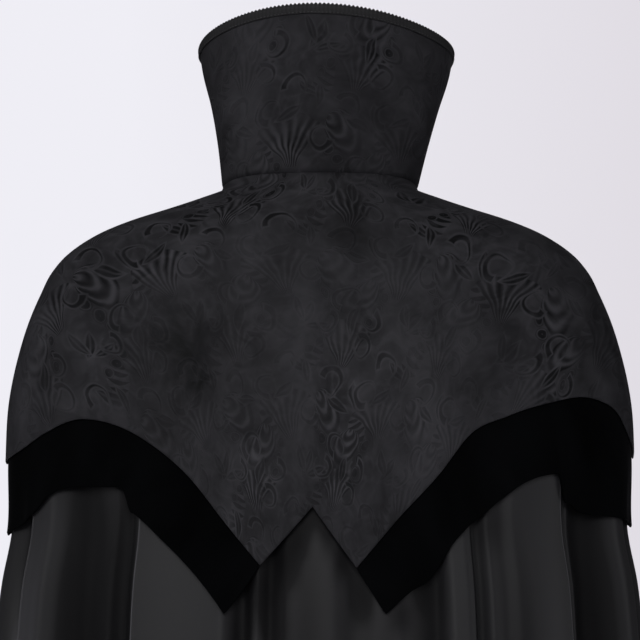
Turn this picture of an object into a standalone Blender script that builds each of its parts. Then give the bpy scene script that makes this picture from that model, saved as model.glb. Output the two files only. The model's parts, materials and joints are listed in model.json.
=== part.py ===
"""High-collared cloak: brocade stand collar and pointed capelet, velvet band, full satin body.

Metres, +Z up. The wearer faces -Y and the wearer's left is +X. The origin is the middle of the
neck seam, level with its side points. Cloth surfaces are worked out over two numbers: the angle
round the wearer, in degrees from the centre back and positive towards the wearer's left, and the
drop below the neck seam.
"""

import bmesh
import bpy
import numpy as np


def columns(names, rows):
    """A table as one array for each of its named columns."""
    return dict(zip(names, np.array(rows, dtype=float).T))


CLOAK = "high_collared_cloak"

# Wall thicknesses and clearances
BROCADE_WALL = 0.0016
COLLAR_WALL = 0.0026
VELVET_WALL = 0.0020
SATIN_WALL = 0.0012
BINDING_WALL = 0.0010
SEAM_GAP = 0.0003
LAP_GAP = 0.0008

# Body of the cloak
HEM_DROP = 1.340
NECK_BACK_RISE = 0.008
NECK_FRONT_RISE = -0.022
LEVEL_DROP = 0.250
FRONT_GAP_NECK = 0.0060
FRONT_GAP_HEM = 0.0700

# Draped form of the shoulders and body: half sizes of its level sections
FORM = columns(
    ("drop", "half_width", "back", "front", "squareness"),
    (
        (0.000, 0.0860, 0.0725, 0.0725, 2.00),
        (0.007, 0.0890, 0.0762, 0.0762, 2.00),
        (0.016, 0.1140, 0.0811, 0.0811, 2.00),
        (0.025, 0.1425, 0.0860, 0.0860, 2.04),
        (0.033, 0.1690, 0.0905, 0.0903, 2.08),
        (0.042, 0.1925, 0.0956, 0.0950, 2.11),
        (0.051, 0.2090, 0.1005, 0.0995, 2.15),
        (0.060, 0.2215, 0.1050, 0.1037, 2.18),
        (0.077, 0.2365, 0.1130, 0.1112, 2.23),
        (0.095, 0.2455, 0.1198, 0.1183, 2.28),
        (0.116, 0.2545, 0.1272, 0.1260, 2.33),
        (0.150, 0.2650, 0.1365, 0.1370, 2.38),
        (0.187, 0.2725, 0.1437, 0.1465, 2.40),
        (0.240, 0.2755, 0.1500, 0.1570, 2.40),
        (0.300, 0.2760, 0.1560, 0.1660, 2.40),
        (0.345, 0.2845, 0.1614, 0.1714, 2.38),
        (0.400, 0.2905, 0.1680, 0.1780, 2.35),
        (0.700, 0.3240, 0.2050, 0.2080, 2.25),
        (1.000, 0.3590, 0.2430, 0.2400, 2.20),
        (1.340, 0.4000, 0.2880, 0.2770, 2.15),
    ),
)

# Broad soft waves of the capelet, which the layers below it share
WAVES = columns(
    ("angle", "half_span", "height"),
    (
        (-150, 15, -0.004),
        (-55, 14, -0.006),
        (-20, 11, -0.003),
        (0, 8, 0.003),
        (21, 12, -0.005),
        (62, 14, -0.004),
        (150, 15, -0.004),
    ),
)
WAVE_START = 0.050
WAVE_FULL = 0.240

# Folds of the satin: each is a trough, as wide on its two sides as "before" and "after" say
FOLDS = columns(
    ("angle", "before", "after", "depth"),
    (
        (-170, 4.5, 5.0, 0.007),
        (-156, 8.0, 7.0, 0.014),
        (-139, 9.0, 7.0, 0.012),
        (-119, 8.0, 10.0, 0.017),
        (-101, 8.0, 8.0, 0.011),
        (-79, 9.0, 8.0, 0.008),
        (-56, 11.0, 10.0, 0.022),
        (-48, 3.0, 1.9, 0.010),
        (-32, 3.0, 3.0, 0.004),
        (-27.4, 2.4, 2.2, 0.006),
        (-20, 2.8, 7.0, 0.011),
        (-6, 4.0, 4.0, 0.003),
        (8.4, 2.6, 2.4, 0.007),
        (13.4, 2.8, 4.0, 0.012),
        (34.7, 2.5, 4.6, 0.011),
        (45, 11.0, 10.0, 0.022),
        (68.5, 5.5, 12.0, 0.009),
        (101, 8.0, 9.0, 0.012),
        (120, 9.0, 8.0, 0.016),
        (138, 8.0, 8.0, 0.012),
        (155, 7.0, 8.0, 0.014),
        (169, 5.0, 5.0, 0.007),
    ),
)
FOLD_START = 0.080
FOLD_FULL = 0.420
FOLD_HEM_GROWTH = 1.4

# Capelet hem and the velvet's lower edge, as drops over the angle from the centre back
NOTCH_ANGLE = 1.3
NOTCH_DROP = 0.281
HEM_LEFT = columns(
    ("angle", "drop"),
    (
        (10.2, 0.330),
        (17.0, 0.293),
        (24.0, 0.252),
        (31.0, 0.225),
        (43.5, 0.207),
        (55.0, 0.218),
        (70.0, 0.235),
        (90.0, 0.243),
    ),
)
HEM_RIGHT = columns(
    ("angle", "drop"),
    (
        (6.2, 0.332),
        (13.5, 0.292),
        (20.7, 0.255),
        (26.0, 0.222),
        (33.5, 0.205),
        (42.0, 0.194),
        (58.0, 0.190),
        (65.0, 0.199),
        (70.0, 0.213),
        (90.0, 0.238),
    ),
)
VELVET_LEFT = columns(
    ("angle", "drop"),
    (
        (16.0, 0.369),
        (20.2, 0.343),
        (27.4, 0.308),
        (33.0, 0.286),
        (39.0, 0.283),
        (54.0, 0.290),
        (59.0, 0.301),
        (68.0, 0.314),
        (90.0, 0.324),
    ),
)
VELVET_RIGHT = columns(
    ("angle", "drop"),
    (
        (10.8, 0.369),
        (15.2, 0.351),
        (18.8, 0.340),
        (22.4, 0.314),
        (29.5, 0.283),
        (37.4, 0.258),
        (43.0, 0.252),
        (53.4, 0.263),
        (64.0, 0.267),
        (90.0, 0.276),
    ),
)
TUCK_LEFT = {"angle": 34.7, "shift": -0.020}
TUCK_RIGHT = {"angle": 45.4, "shift": 0.021}
TUCK_HALF_SPAN = 0.9
VELVET_LAP = 0.22
VELVET_LAP_INSET = 0.05
VELVET_FOLLOW = 0.55

# Satin's distance inside the form's surface, at the neck seam and below the shoulders
SATIN_INSET_NECK = 0.0022
SATIN_INSET = 0.0066
SATIN_INSET_DROP = 0.080

# Stand collar: half sizes of its level sections over the share of its height
COLLAR = columns(
    ("share", "half_width", "back", "front"),
    (
        (0.00, 0.0860, 0.0725, 0.0725),
        (0.30, 0.0924, 0.0760, 0.0790),
        (0.60, 0.1005, 0.0810, 0.0880),
        (0.85, 0.1089, 0.0860, 0.0970),
        (1.00, 0.1120, 0.0880, 0.1020),
    ),
)
COLLAR_HEIGHT_BACK = 0.141
COLLAR_HEIGHT_SIDE = 0.119
COLLAR_HEIGHT_FRONT = 0.095
COLLAR_LEAN = -0.0056
COLLAR_TURN = 5.0
COLLAR_TILT = 0.001
COLLAR_OPEN_NECK = 2.5
COLLAR_OPEN_TOP = 38.0
COLLAR_CORNER_START = 0.86
COLLAR_CORNER_DROP = 0.30
BINDING_SHARE = 0.036

# Hook and eye at the centre front, inside the collar's lower edge
FASTENER_WIRE = 0.0005
FASTENER_SHARE = 0.09
EYE_CENTRE = 0.0045
EYE_HALF_LENGTH = 0.0055
EYE_HALF_HEIGHT = 0.0025
EYE_POINTS = 16
HOOK_ROUTE = columns(
    ("across", "inwards"),
    (
        (-0.0120, 0.0010),
        (-0.0060, 0.0010),
        (-0.0030, 0.0022),
        (0.0000, 0.0026),
        (0.0013, 0.0019),
        (0.0015, 0.0009),
        (0.0011, -0.0003),
        (-0.0003, -0.0010),
        (-0.0018, -0.0008),
    ),
)

# Mesh steps
NECK_ROWS = (SEAM_GAP, 0.007, 0.016, 0.028, 0.046)
CAPELET_ROWS = (0.10, 0.22, 0.36, 0.52, 0.68, 0.84, 1.0)
CAPELET_NOTCH_STEPS = 2
CAPELET_ARCH_STEPS = 22
VELVET_ROWS = (-VELVET_LAP, 0.0, 0.5, 1.0)
SATIN_ROWS = (*NECK_ROWS, 0.080, 0.140, 0.210, 0.280, 0.350, 0.430, 0.620, 0.920, HEM_DROP)
FOLD_STEPS = (-1.0, -0.5, 0.0, 0.5, 1.0)
FOLD_CLOSEST = 0.9
FOLD_WIDEST = 6.0
COLLAR_ROWS = (0.0, 0.15, 0.30, 0.45, 0.60, 0.74, 0.86, 1.0 - BINDING_SHARE, 1.0)
COLLAR_COLUMNS = 45
COLLAR_CROWDING = 1.15
VELVET_COLUMNS = 2 * CAPELET_ARCH_STEPS
SHARP_ANGLE = 50
ANGLE_STEP = 0.01
LENGTH_STEP = 0.0001
SHARE_STEP = 0.001


def smooth(table, name, at):
    """Smooth curve through a table's column over its first column: cubic pieces with shared slopes."""
    knots = next(iter(table.values()))
    values = table[name]
    slopes = np.gradient(values, knots)
    low = np.clip(np.searchsorted(knots, at) - 1, 0, len(knots) - 2)
    span = knots[low + 1] - knots[low]
    s = (at - knots[low]) / span
    start = (1 + 2 * s) * (1 - s) ** 2 * values[low] + s * (1 - s) ** 2 * span * slopes[low]
    end = s**2 * (3 - 2 * s) * values[low + 1] + s**2 * (s - 1) * span * slopes[low + 1]
    return start + end


def ease(start, end, at):
    """0 before start, 1 after end, and a smooth rise between them."""
    s = np.clip((at - start) / (end - start), 0, 1)
    return s**2 * (3 - 2 * s)


def round_values(back, side, front, angle):
    """A value that goes smoothly from the back through the side to the front."""
    turn = np.cos(np.radians(angle))
    return side + (back - front) / 2 * turn + ((back + front) / 2 - side) * turn**2


def bump(reach):
    """1 at the middle, falling smoothly to 0 at a reach of 1 either way."""
    return np.where(np.abs(reach) < 1, 0.5 + 0.5 * np.cos(np.pi * reach), 0)


def waves(angle, drop):
    """How far the capelet's broad waves stand out."""
    total = np.zeros(np.broadcast(angle, drop).shape)
    for middle, half_span, height in zip(*WAVES.values()):
        total = total + height * bump((angle - middle) / half_span)
    return total * ease(WAVE_START, WAVE_FULL, drop)


def form(angle, drop):
    """The draped outer form: rounded level sections below a neck seam that rises at the back."""
    turn = np.radians(angle)
    power = smooth(FORM, "squareness", drop)
    sine, cosine = np.sin(turn), np.cos(turn)
    swell = (np.abs(sine) ** power + np.abs(cosine) ** power) ** (-1 / power)
    to_back = 0.5 + 0.5 * cosine
    depth = smooth(FORM, "back", drop) * to_back + smooth(FORM, "front", drop) * (1 - to_back)
    wave = waves(angle, drop)
    seam = round_values(NECK_BACK_RISE, 0, NECK_FRONT_RISE, angle)
    return np.stack(
        [
            (smooth(FORM, "half_width", drop) * swell + wave) * sine,
            (depth * swell + wave) * cosine,
            seam * (1 - ease(0, LEVEL_DROP, drop)) - drop,
        ],
        axis=-1,
    )


def along(surface, angle, drop):
    """Steps of a surface for one degree of angle and one metre of drop."""
    across = surface(angle + ANGLE_STEP, drop) - surface(angle - ANGLE_STEP, drop)
    down = surface(angle, drop + LENGTH_STEP) - surface(angle, drop - LENGTH_STEP)
    return across / (2 * ANGLE_STEP), down / (2 * LENGTH_STEP)


def normal(surface, angle, drop):
    """Unit normal of a surface, pointing away from the wearer."""
    out = np.cross(*along(surface, angle, drop))
    return out / np.linalg.norm(out, axis=-1, keepdims=True)


def inside(surface, angle, drop, distance):
    """Points of a surface moved inwards along its normal."""
    return surface(angle, drop) - np.expand_dims(distance, -1) * normal(surface, angle, drop)


def fold_depth(angle, drop):
    """How far the satin's troughs sink below its crests, growing from the shoulders to the hem."""
    total = np.zeros(np.broadcast(angle, drop).shape)
    for middle, before, after, depth in zip(*FOLDS.values()):
        side = np.where(angle < middle, before, after)
        total = np.maximum(total, depth * bump((angle - middle) / side))
    growth = 1 + FOLD_HEM_GROWTH * np.clip((drop - FOLD_FULL) / (HEM_DROP - FOLD_FULL), 0, 1)
    return total * ease(FOLD_START, FOLD_FULL, drop) * growth


def satin_surface(angle, drop):
    """Outer face of the satin: the form, moved in by the layers above it and by the folds."""
    clear = SATIN_INSET_NECK + (SATIN_INSET - SATIN_INSET_NECK) * ease(0, SATIN_INSET_DROP, drop)
    return inside(form, angle, drop, clear + fold_depth(angle, drop))


def velvet_surface(angle, drop, hang):
    """Outer face of the velvet: under the capelet at its seam, sinking into the folds below it."""
    clear = BROCADE_WALL + LAP_GAP
    return inside(form, angle, drop, clear + VELVET_FOLLOW * np.clip(hang, 0, 1) * fold_depth(angle, drop))


def collar_height(angle):
    """Height of the collar: lowest at the front, with its peak near the centre back, and tilted a little."""
    turn = np.cos(np.radians(angle - COLLAR_TURN))
    end = np.where(turn > 0, COLLAR_HEIGHT_BACK, COLLAR_HEIGHT_FRONT)
    tilt = COLLAR_TILT * np.sin(np.radians(angle))
    return COLLAR_HEIGHT_SIDE + (end - COLLAR_HEIGHT_SIDE) * turn**2 + tilt


def collar_surface(place, share):
    """Outer face of the collar: place runs from -1 to 1 between its front edges, share up its height."""
    opening = COLLAR_OPEN_NECK + (COLLAR_OPEN_TOP - COLLAR_OPEN_NECK) * share
    angle = place * (180 - opening)
    turn = np.radians(angle)
    reach = np.clip((np.abs(place) - COLLAR_CORNER_START) / (1 - COLLAR_CORNER_START), 0, 1)
    corner = 1 - COLLAR_CORNER_DROP * reach**2
    height = collar_height(angle) * corner
    to_back = 0.5 + 0.5 * np.cos(turn)
    depth = smooth(COLLAR, "back", share) * to_back + smooth(COLLAR, "front", share) * (1 - to_back)
    seam = round_values(NECK_BACK_RISE, 0, NECK_FRONT_RISE, angle)
    return np.stack(
        [
            smooth(COLLAR, "half_width", share) * np.sin(turn) + COLLAR_LEAN * np.sin(np.pi / 2 * share),
            depth * np.cos(turn),
            seam + share * height,
        ],
        axis=-1,
    )


def front_edge(drop):
    """Angle of the centre front edge: the opening widens evenly from the neck to the hem."""
    half_gap = (FRONT_GAP_NECK + (FRONT_GAP_HEM - FRONT_GAP_NECK) * drop / HEM_DROP) / 2
    across, _ = along(form, np.full_like(drop, 180.0), drop)
    return 180 - half_gap / np.linalg.norm(across, axis=-1)


def part_seams(surface, angle, drop):
    """Draws the first and last column of a panel in by half a seam gap."""
    across, _ = along(surface, angle, drop)
    shift = SEAM_GAP / 2 / np.linalg.norm(across, axis=-1)
    inward = np.sign(angle[:, -1] - angle[:, 0])
    parted = angle.copy()
    parted[:, 0] += inward * shift[:, 0]
    parted[:, -1] -= inward * shift[:, -1]
    return parted


def panel_angles(steps, drop, is_front):
    """Columns of a quarter panel: the last column of a front follows the centre front edge."""
    if not is_front:
        return np.broadcast_to(steps, drop.shape).copy()
    share = (steps - 90) / 90
    return 90 + share * (front_edge(drop) - 90)


def quarter(steps, is_front):
    """Angles from the centre back to the side, or the same mirrored from the side to the front."""
    return 180 - steps[::-1] if is_front else steps


def hem_drop(table, steps):
    """Drop of the capelet's hem: straight from the notch to the point, then along the arch."""
    point_angle, point_drop = table["angle"][0], table["drop"][0]
    to_point = NOTCH_DROP + (point_drop - NOTCH_DROP) * (steps - steps[0]) / (point_angle - steps[0])
    return np.where(steps < point_angle, to_point, smooth(table, "drop", steps))


def make_material(name, colour, roughness, metallic=0.0):
    """A plain Principled material."""
    material = bpy.data.materials.new(name)
    material.use_nodes = True
    shader = material.node_tree.nodes["Principled BSDF"]
    shader.inputs["Base Color"].default_value = (*colour, 1.0)
    shader.inputs["Roughness"].default_value = roughness
    shader.inputs["Metallic"].default_value = metallic
    return material


def add_object(name, mesh, material):
    """Puts a finished mesh into the cloak's collection."""
    mesh.materials.clear()
    mesh.materials.append(material)
    piece = bpy.data.objects.new(name, mesh)
    bpy.data.collections[CLOAK].objects.link(piece)
    return piece


def grid_of(work, points):
    """A Blender grid whose vertices are set on the given rows of points."""
    rows, count = points.shape[:2]
    made = bmesh.ops.create_grid(work, x_segments=count - 1, y_segments=rows - 1, size=1.0)
    for vertex, point in zip(made["verts"], points.reshape(-1, 3)):
        vertex.co = point
    return np.array(made["verts"], dtype=object).reshape(rows, count)


def border(sheet):
    """The vertices round a grid, in order."""
    return [*sheet[0, :-1], *sheet[:-1, -1], *sheet[-1, :0:-1], *sheet[:0:-1, 0]]


def cloth_wall(name, outer, inner, material):
    """A closed cloth piece: its outer and inner faces as grids, joined by a rim."""
    work = bmesh.new()
    outer_rim = border(grid_of(work, outer))
    inner_rim = border(grid_of(work, inner))
    for i, vertex in enumerate(outer_rim):
        work.faces.new((outer_rim[i - 1], vertex, inner_rim[i], inner_rim[i - 1]))
    bmesh.ops.recalc_face_normals(work, faces=work.faces)
    mesh = bpy.data.meshes.new(name)
    work.to_mesh(mesh)
    work.free()
    mesh.shade_smooth()
    mesh.set_sharp_from_angle(angle=np.radians(SHARP_ANGLE))
    return add_object(name, mesh, material)


def cloth_panel(name, surface, angle, drop, wall, material):
    """A cloth piece over a grid of angles and drops, its inner face one wall inside the outer."""
    cloth_wall(name, surface(angle, drop), inside(surface, angle, drop, wall), material)


def make_capelet(name, hem, side, is_front, material):
    """A quarter of the capelet, from the neck seam to its pointed and arched hem."""
    point = hem["angle"][0]
    notch = np.linspace(side * NOTCH_ANGLE, point, CAPELET_NOTCH_STEPS + 1)
    arch = np.linspace(point, 90, CAPELET_ARCH_STEPS + 1)
    steps = np.concatenate([notch, arch[1:]])
    length = hem_drop(hem, steps)[:: -1 if is_front else 1]
    near_neck = np.repeat(np.array(NECK_ROWS)[:, None], len(steps), axis=1)
    below = NECK_ROWS[-1] + np.outer(CAPELET_ROWS, length - NECK_ROWS[-1])
    drop = np.concatenate([near_neck, below])
    angle = side * panel_angles(quarter(steps, is_front), drop, is_front)
    cloth_panel(name, form, part_seams(form, angle, drop), drop, BROCADE_WALL, material)


def velvet_edge(edge, tuck, angle):
    """Drop of the velvet's lower edge, with the step that a tuck in one fold gives it."""
    step = ease(tuck["angle"] - TUCK_HALF_SPAN, tuck["angle"] + TUCK_HALF_SPAN, angle)
    return smooth(edge, "drop", angle) + tuck["shift"] * step


def make_velvet(name, hem, edge, tuck, side, is_front, material):
    """A quarter of the velvet band: lapped under the capelet's arch, its inner end in line with the notch."""
    along_arch = np.linspace(0, 1, VELVET_COLUMNS + 1)
    row = np.array(VELVET_ROWS)[:, None]
    lapped = np.clip(-row / VELVET_LAP, 0, 1) * VELVET_LAP_INSET
    share = along_arch + lapped * (1 - along_arch)
    top_angle = hem["angle"][0] + share * (90 - hem["angle"][0])
    low_angle = edge["angle"][0] + share * (90 - edge["angle"][0])
    steps = top_angle + np.clip(row, 0, 1) * (low_angle - top_angle)
    top_drop = smooth(hem, "drop", top_angle)
    drop = top_drop + row * (velvet_edge(edge, tuck, low_angle) - top_drop)
    hang = np.broadcast_to(row, drop.shape)
    angle = side * (180 - steps if is_front else steps)

    def surface(at_angle, at_drop):
        return velvet_surface(at_angle, at_drop, hang)

    cloth_panel(name, surface, part_seams(surface, angle, drop), drop, VELVET_WALL, material)


def fold_columns(low, high):
    """Angles of the satin's columns: the key places of each fold, and even fill between them."""
    keys = [low, high]
    for middle, before, after, _ in zip(*FOLDS.values()):
        keys += [middle + step * (before if step < 0 else after) for step in FOLD_STEPS]
    kept = [low]
    for key in sorted(k for k in keys if low < k < high):
        if key - kept[-1] > FOLD_CLOSEST and high - key > FOLD_CLOSEST:
            kept.append(key)
    kept.append(high)
    filled = [low]
    for key in kept[1:]:
        count = int(np.ceil((key - filled[-1]) / FOLD_WIDEST))
        filled += list(np.linspace(filled[-1], key, count + 1)[1:])
    return np.array(filled)


def make_cape(name, side, is_front, material):
    """A quarter of the satin body, from the neck seam under the capelet to the level hem."""
    low, high = (90, 180) if is_front else (0, 90)
    steps = fold_columns(low, high) if side > 0 else -fold_columns(-high, -low)[::-1]
    drop = np.repeat(np.array(SATIN_ROWS)[:, None], len(steps), axis=1)
    angle = side * panel_angles(steps, drop, is_front)
    cloth_panel(name, satin_surface, part_seams(satin_surface, angle, drop), drop, SATIN_WALL, material)


def collar_grid():
    """Places and shares of the collar's grid, closer together at the rounded front corners."""
    even = np.linspace(-1, 1, COLLAR_COLUMNS)
    place = np.sign(even) * (1 - (1 - np.abs(even)) ** COLLAR_CROWDING)
    return np.meshgrid(place, np.array(COLLAR_ROWS))


def collar_normal(place, share):
    """Unit normal of the collar's outer face; just inside its front edges for the last columns."""
    held = np.clip(place, SHARE_STEP - 1, 1 - SHARE_STEP)
    across = collar_surface(held + SHARE_STEP, share) - collar_surface(held - SHARE_STEP, share)
    up = collar_surface(held, share + SHARE_STEP) - collar_surface(held, share - SHARE_STEP)
    out = np.cross(up, across)
    return out / np.linalg.norm(out, axis=-1, keepdims=True)


def make_collar(material):
    """The stand collar, on the neck seam."""
    place, share = collar_grid()
    outer = collar_surface(place, share)
    cloth_wall("collar", outer, outer - COLLAR_WALL * collar_normal(place, share), material)


def make_binding(material):
    """A strip folded over the collar's top edge: one U-shaped section carried along that edge."""
    place = collar_grid()[0][-1]
    top, foot = np.ones_like(place), np.full_like(place, 1 - BINDING_SHARE)
    top_out, foot_out = collar_normal(place, top), collar_normal(place, foot)
    edge = collar_surface(place, top)
    up = np.cross(np.gradient(edge, axis=0), top_out)
    up *= np.sign(up[:, 2:]) / np.linalg.norm(up, axis=-1, keepdims=True)
    near, far = SEAM_GAP, SEAM_GAP + BINDING_WALL
    back_near, back_far = -COLLAR_WALL - near, -COLLAR_WALL - far
    over = ((far, near), (near, far), (back_near, far), (back_far, near))
    under = ((back_near, near), (near, near))
    leg = collar_surface(place, foot)
    section = [leg + far * foot_out]
    section += [edge + n * top_out + u * up for n, u in over]
    section += [leg + back_far * foot_out, leg + back_near * foot_out]
    section += [edge + n * top_out + u * up for n, u in under]
    section += [leg + near * foot_out]
    rings = np.stack(section, axis=1)
    work = bmesh.new()
    loops = [[work.verts.new(point) for point in ring] for ring in rings]
    for first, second in zip(loops, loops[1:]):
        for i in range(len(section)):
            work.faces.new((first[i - 1], first[i], second[i], second[i - 1]))
    for ring in (loops[0], loops[-1]):
        work.faces.new(ring)
    bmesh.ops.recalc_face_normals(work, faces=work.faces)
    mesh = bpy.data.meshes.new("collar_binding")
    work.to_mesh(mesh)
    work.free()
    add_object("collar_binding", mesh, material)


def inside_collar_front(across, inwards):
    """A point at the centre front, given across and inwards from the collar's inner face there."""
    half_width = smooth(COLLAR, "half_width", FASTENER_SHARE) - COLLAR_WALL
    depth = smooth(COLLAR, "front", FASTENER_SHARE) - COLLAR_WALL
    face = -depth * np.sqrt(1 - (across / half_width) ** 2)
    height = NECK_FRONT_RISE + FASTENER_SHARE * COLLAR_HEIGHT_FRONT
    return np.stack([across, face + inwards, np.full_like(across, height)], axis=-1)


def make_wire(name, route, is_closed, material):
    """A round wire along a route of points."""
    curve = bpy.data.curves.new(name, "CURVE")
    curve.dimensions = "3D"
    curve.bevel_depth = FASTENER_WIRE
    curve.bevel_resolution = 1
    curve.use_fill_caps = not is_closed
    spline = curve.splines.new("POLY")
    spline.points.add(len(route) - 1)
    for point, place in zip(spline.points, route):
        point.co = (*place, 1.0)
    spline.use_cyclic_u = is_closed
    add_object(name, curve, material)


def make_fastener(material):
    """A hook on the wearer's right that passes through an oval eye on the left."""
    make_wire("neck_hook", inside_collar_front(HOOK_ROUTE["across"], HOOK_ROUTE["inwards"]), False, material)
    turn = np.linspace(0, 2 * np.pi, EYE_POINTS, endpoint=False)
    across = EYE_CENTRE + EYE_HALF_LENGTH * np.cos(turn)
    ring = inside_collar_front(across, np.full_like(across, 2 * FASTENER_WIRE))
    ring[:, 2] += EYE_HALF_HEIGHT * np.sin(turn)
    make_wire("neck_eye", ring, True, material)


def main():
    for old in list(bpy.data.objects):
        bpy.data.objects.remove(old)
    bpy.context.scene.collection.children.link(bpy.data.collections.new(CLOAK))
    brocade = make_material("brocade", (0.017, 0.017, 0.019), 0.50)
    velvet = make_material("velvet", (0.003, 0.003, 0.003), 0.95)
    satin = make_material("satin", (0.018, 0.018, 0.019), 0.38)
    braid = make_material("binding", (0.015, 0.015, 0.016), 0.60)
    steel = make_material("fastener", (0.030, 0.030, 0.032), 0.35, 1.0)
    make_collar(brocade)
    make_binding(braid)
    left = ("left", 1, HEM_LEFT, VELVET_LEFT, TUCK_LEFT)
    right = ("right", -1, HEM_RIGHT, VELVET_RIGHT, TUCK_RIGHT)
    for hand, side, hem, edge, tuck in (left, right):
        for half, is_front in (("back", False), ("front", True)):
            make_capelet(f"capelet_{half}_{hand}", hem, side, is_front, brocade)
            make_velvet(f"velvet_{half}_{hand}", hem, edge, tuck, side, is_front, velvet)
            make_cape(f"cape_{half}_{hand}", side, is_front, satin)
    make_fastener(steel)


main()
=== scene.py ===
"""Dresses a high-collared cloak: brocade collar and capelet, velvet band, satin body, hook and eye.

Metres, +Z up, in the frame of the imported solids: the wearer faces -Y and the wearer's left is +X.
Cloth surfaces are worked out over two numbers: the angle round the wearer, in degrees from the
centre back and positive towards the wearer's left, and the drop below the neck seam.
"""

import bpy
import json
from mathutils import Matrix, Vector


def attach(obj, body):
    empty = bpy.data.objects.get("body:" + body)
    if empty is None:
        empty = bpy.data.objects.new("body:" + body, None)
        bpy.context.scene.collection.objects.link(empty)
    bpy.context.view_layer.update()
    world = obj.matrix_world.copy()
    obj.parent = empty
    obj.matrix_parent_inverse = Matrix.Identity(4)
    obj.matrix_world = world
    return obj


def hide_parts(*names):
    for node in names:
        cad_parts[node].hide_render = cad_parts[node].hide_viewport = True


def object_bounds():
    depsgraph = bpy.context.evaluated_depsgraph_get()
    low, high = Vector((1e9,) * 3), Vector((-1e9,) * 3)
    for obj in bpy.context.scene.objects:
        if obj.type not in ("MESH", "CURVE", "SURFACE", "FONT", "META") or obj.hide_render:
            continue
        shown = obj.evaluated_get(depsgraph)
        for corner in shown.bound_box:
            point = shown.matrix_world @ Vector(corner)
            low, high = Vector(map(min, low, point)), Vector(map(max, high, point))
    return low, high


bl_info = {
    "name": "High-collared cloak",
    "version": (1, 0, 0),
    "blender": (4, 5, 0),
    "location": "View3D > Sidebar > Cloak",
    "description": "Builds the cloth, trim, fastener and studio of a high-collared cloak",
    "category": "Add Mesh",
}

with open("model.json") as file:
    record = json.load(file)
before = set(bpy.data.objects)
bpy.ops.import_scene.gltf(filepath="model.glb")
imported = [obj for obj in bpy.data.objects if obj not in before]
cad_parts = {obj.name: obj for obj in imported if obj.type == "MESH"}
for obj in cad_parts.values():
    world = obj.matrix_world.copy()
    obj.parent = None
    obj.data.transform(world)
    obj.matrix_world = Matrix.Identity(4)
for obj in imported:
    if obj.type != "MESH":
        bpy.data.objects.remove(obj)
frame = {"record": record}

import json
import math

import bpy
import numpy as np
from bpy.props import FloatProperty, FloatVectorProperty, PointerProperty
from mathutils import Vector

CAD_LOW, CAD_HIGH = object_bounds()
BODY = "root"
SLOT_COLOUR = {finish["slot"]: tuple(finish["base_color"]) for finish in frame["record"]["materials"]}


def columns(names, rows):
    """A table as one array for each of its named columns."""
    return dict(zip(names, np.array(rows, dtype=float).T))


# Wall thicknesses and clearances
BROCADE_WALL = 0.0016
COLLAR_WALL = 0.0026
VELVET_WALL = 0.0020
SATIN_WALL = 0.0012
BINDING_WALL = 0.0010
SEAM_GAP = 0.0003
LAP_GAP = 0.0008

# Body of the cloak
HEM_DROP = 1.340
NECK_BACK_RISE = 0.008
NECK_FRONT_RISE = -0.022
LEVEL_DROP = 0.250
FRONT_GAP_NECK = 0.0060
FRONT_GAP_HEM = 0.0700

# Draped form of the shoulders and body: half sizes of its level sections
FORM = columns(
    ("drop", "half_width", "back", "front", "squareness"),
    (
        (0.000, 0.0860, 0.0725, 0.0725, 2.00),
        (0.007, 0.0890, 0.0762, 0.0762, 2.00),
        (0.016, 0.1140, 0.0811, 0.0811, 2.00),
        (0.025, 0.1425, 0.0860, 0.0860, 2.04),
        (0.033, 0.1690, 0.0905, 0.0903, 2.08),
        (0.042, 0.1925, 0.0956, 0.0950, 2.11),
        (0.051, 0.2090, 0.1005, 0.0995, 2.15),
        (0.060, 0.2215, 0.1050, 0.1037, 2.18),
        (0.077, 0.2365, 0.1130, 0.1112, 2.23),
        (0.095, 0.2455, 0.1198, 0.1183, 2.28),
        (0.116, 0.2545, 0.1272, 0.1260, 2.33),
        (0.150, 0.2650, 0.1365, 0.1370, 2.38),
        (0.187, 0.2725, 0.1437, 0.1465, 2.40),
        (0.240, 0.2755, 0.1500, 0.1570, 2.40),
        (0.300, 0.2760, 0.1560, 0.1660, 2.40),
        (0.345, 0.2845, 0.1614, 0.1714, 2.38),
        (0.400, 0.2905, 0.1680, 0.1780, 2.35),
        (0.700, 0.3240, 0.2050, 0.2080, 2.25),
        (1.000, 0.3590, 0.2430, 0.2400, 2.20),
        (1.340, 0.4000, 0.2880, 0.2770, 2.15),
    ),
)

# Broad soft waves of the capelet, which the layers below it share
WAVES = columns(
    ("angle", "half_span", "height"),
    (
        (-150, 15, -0.004),
        (-55, 14, -0.006),
        (-20, 11, -0.003),
        (0, 8, 0.003),
        (21, 12, -0.005),
        (62, 14, -0.004),
        (150, 15, -0.004),
    ),
)
WAVE_START = 0.050
WAVE_FULL = 0.240

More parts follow.
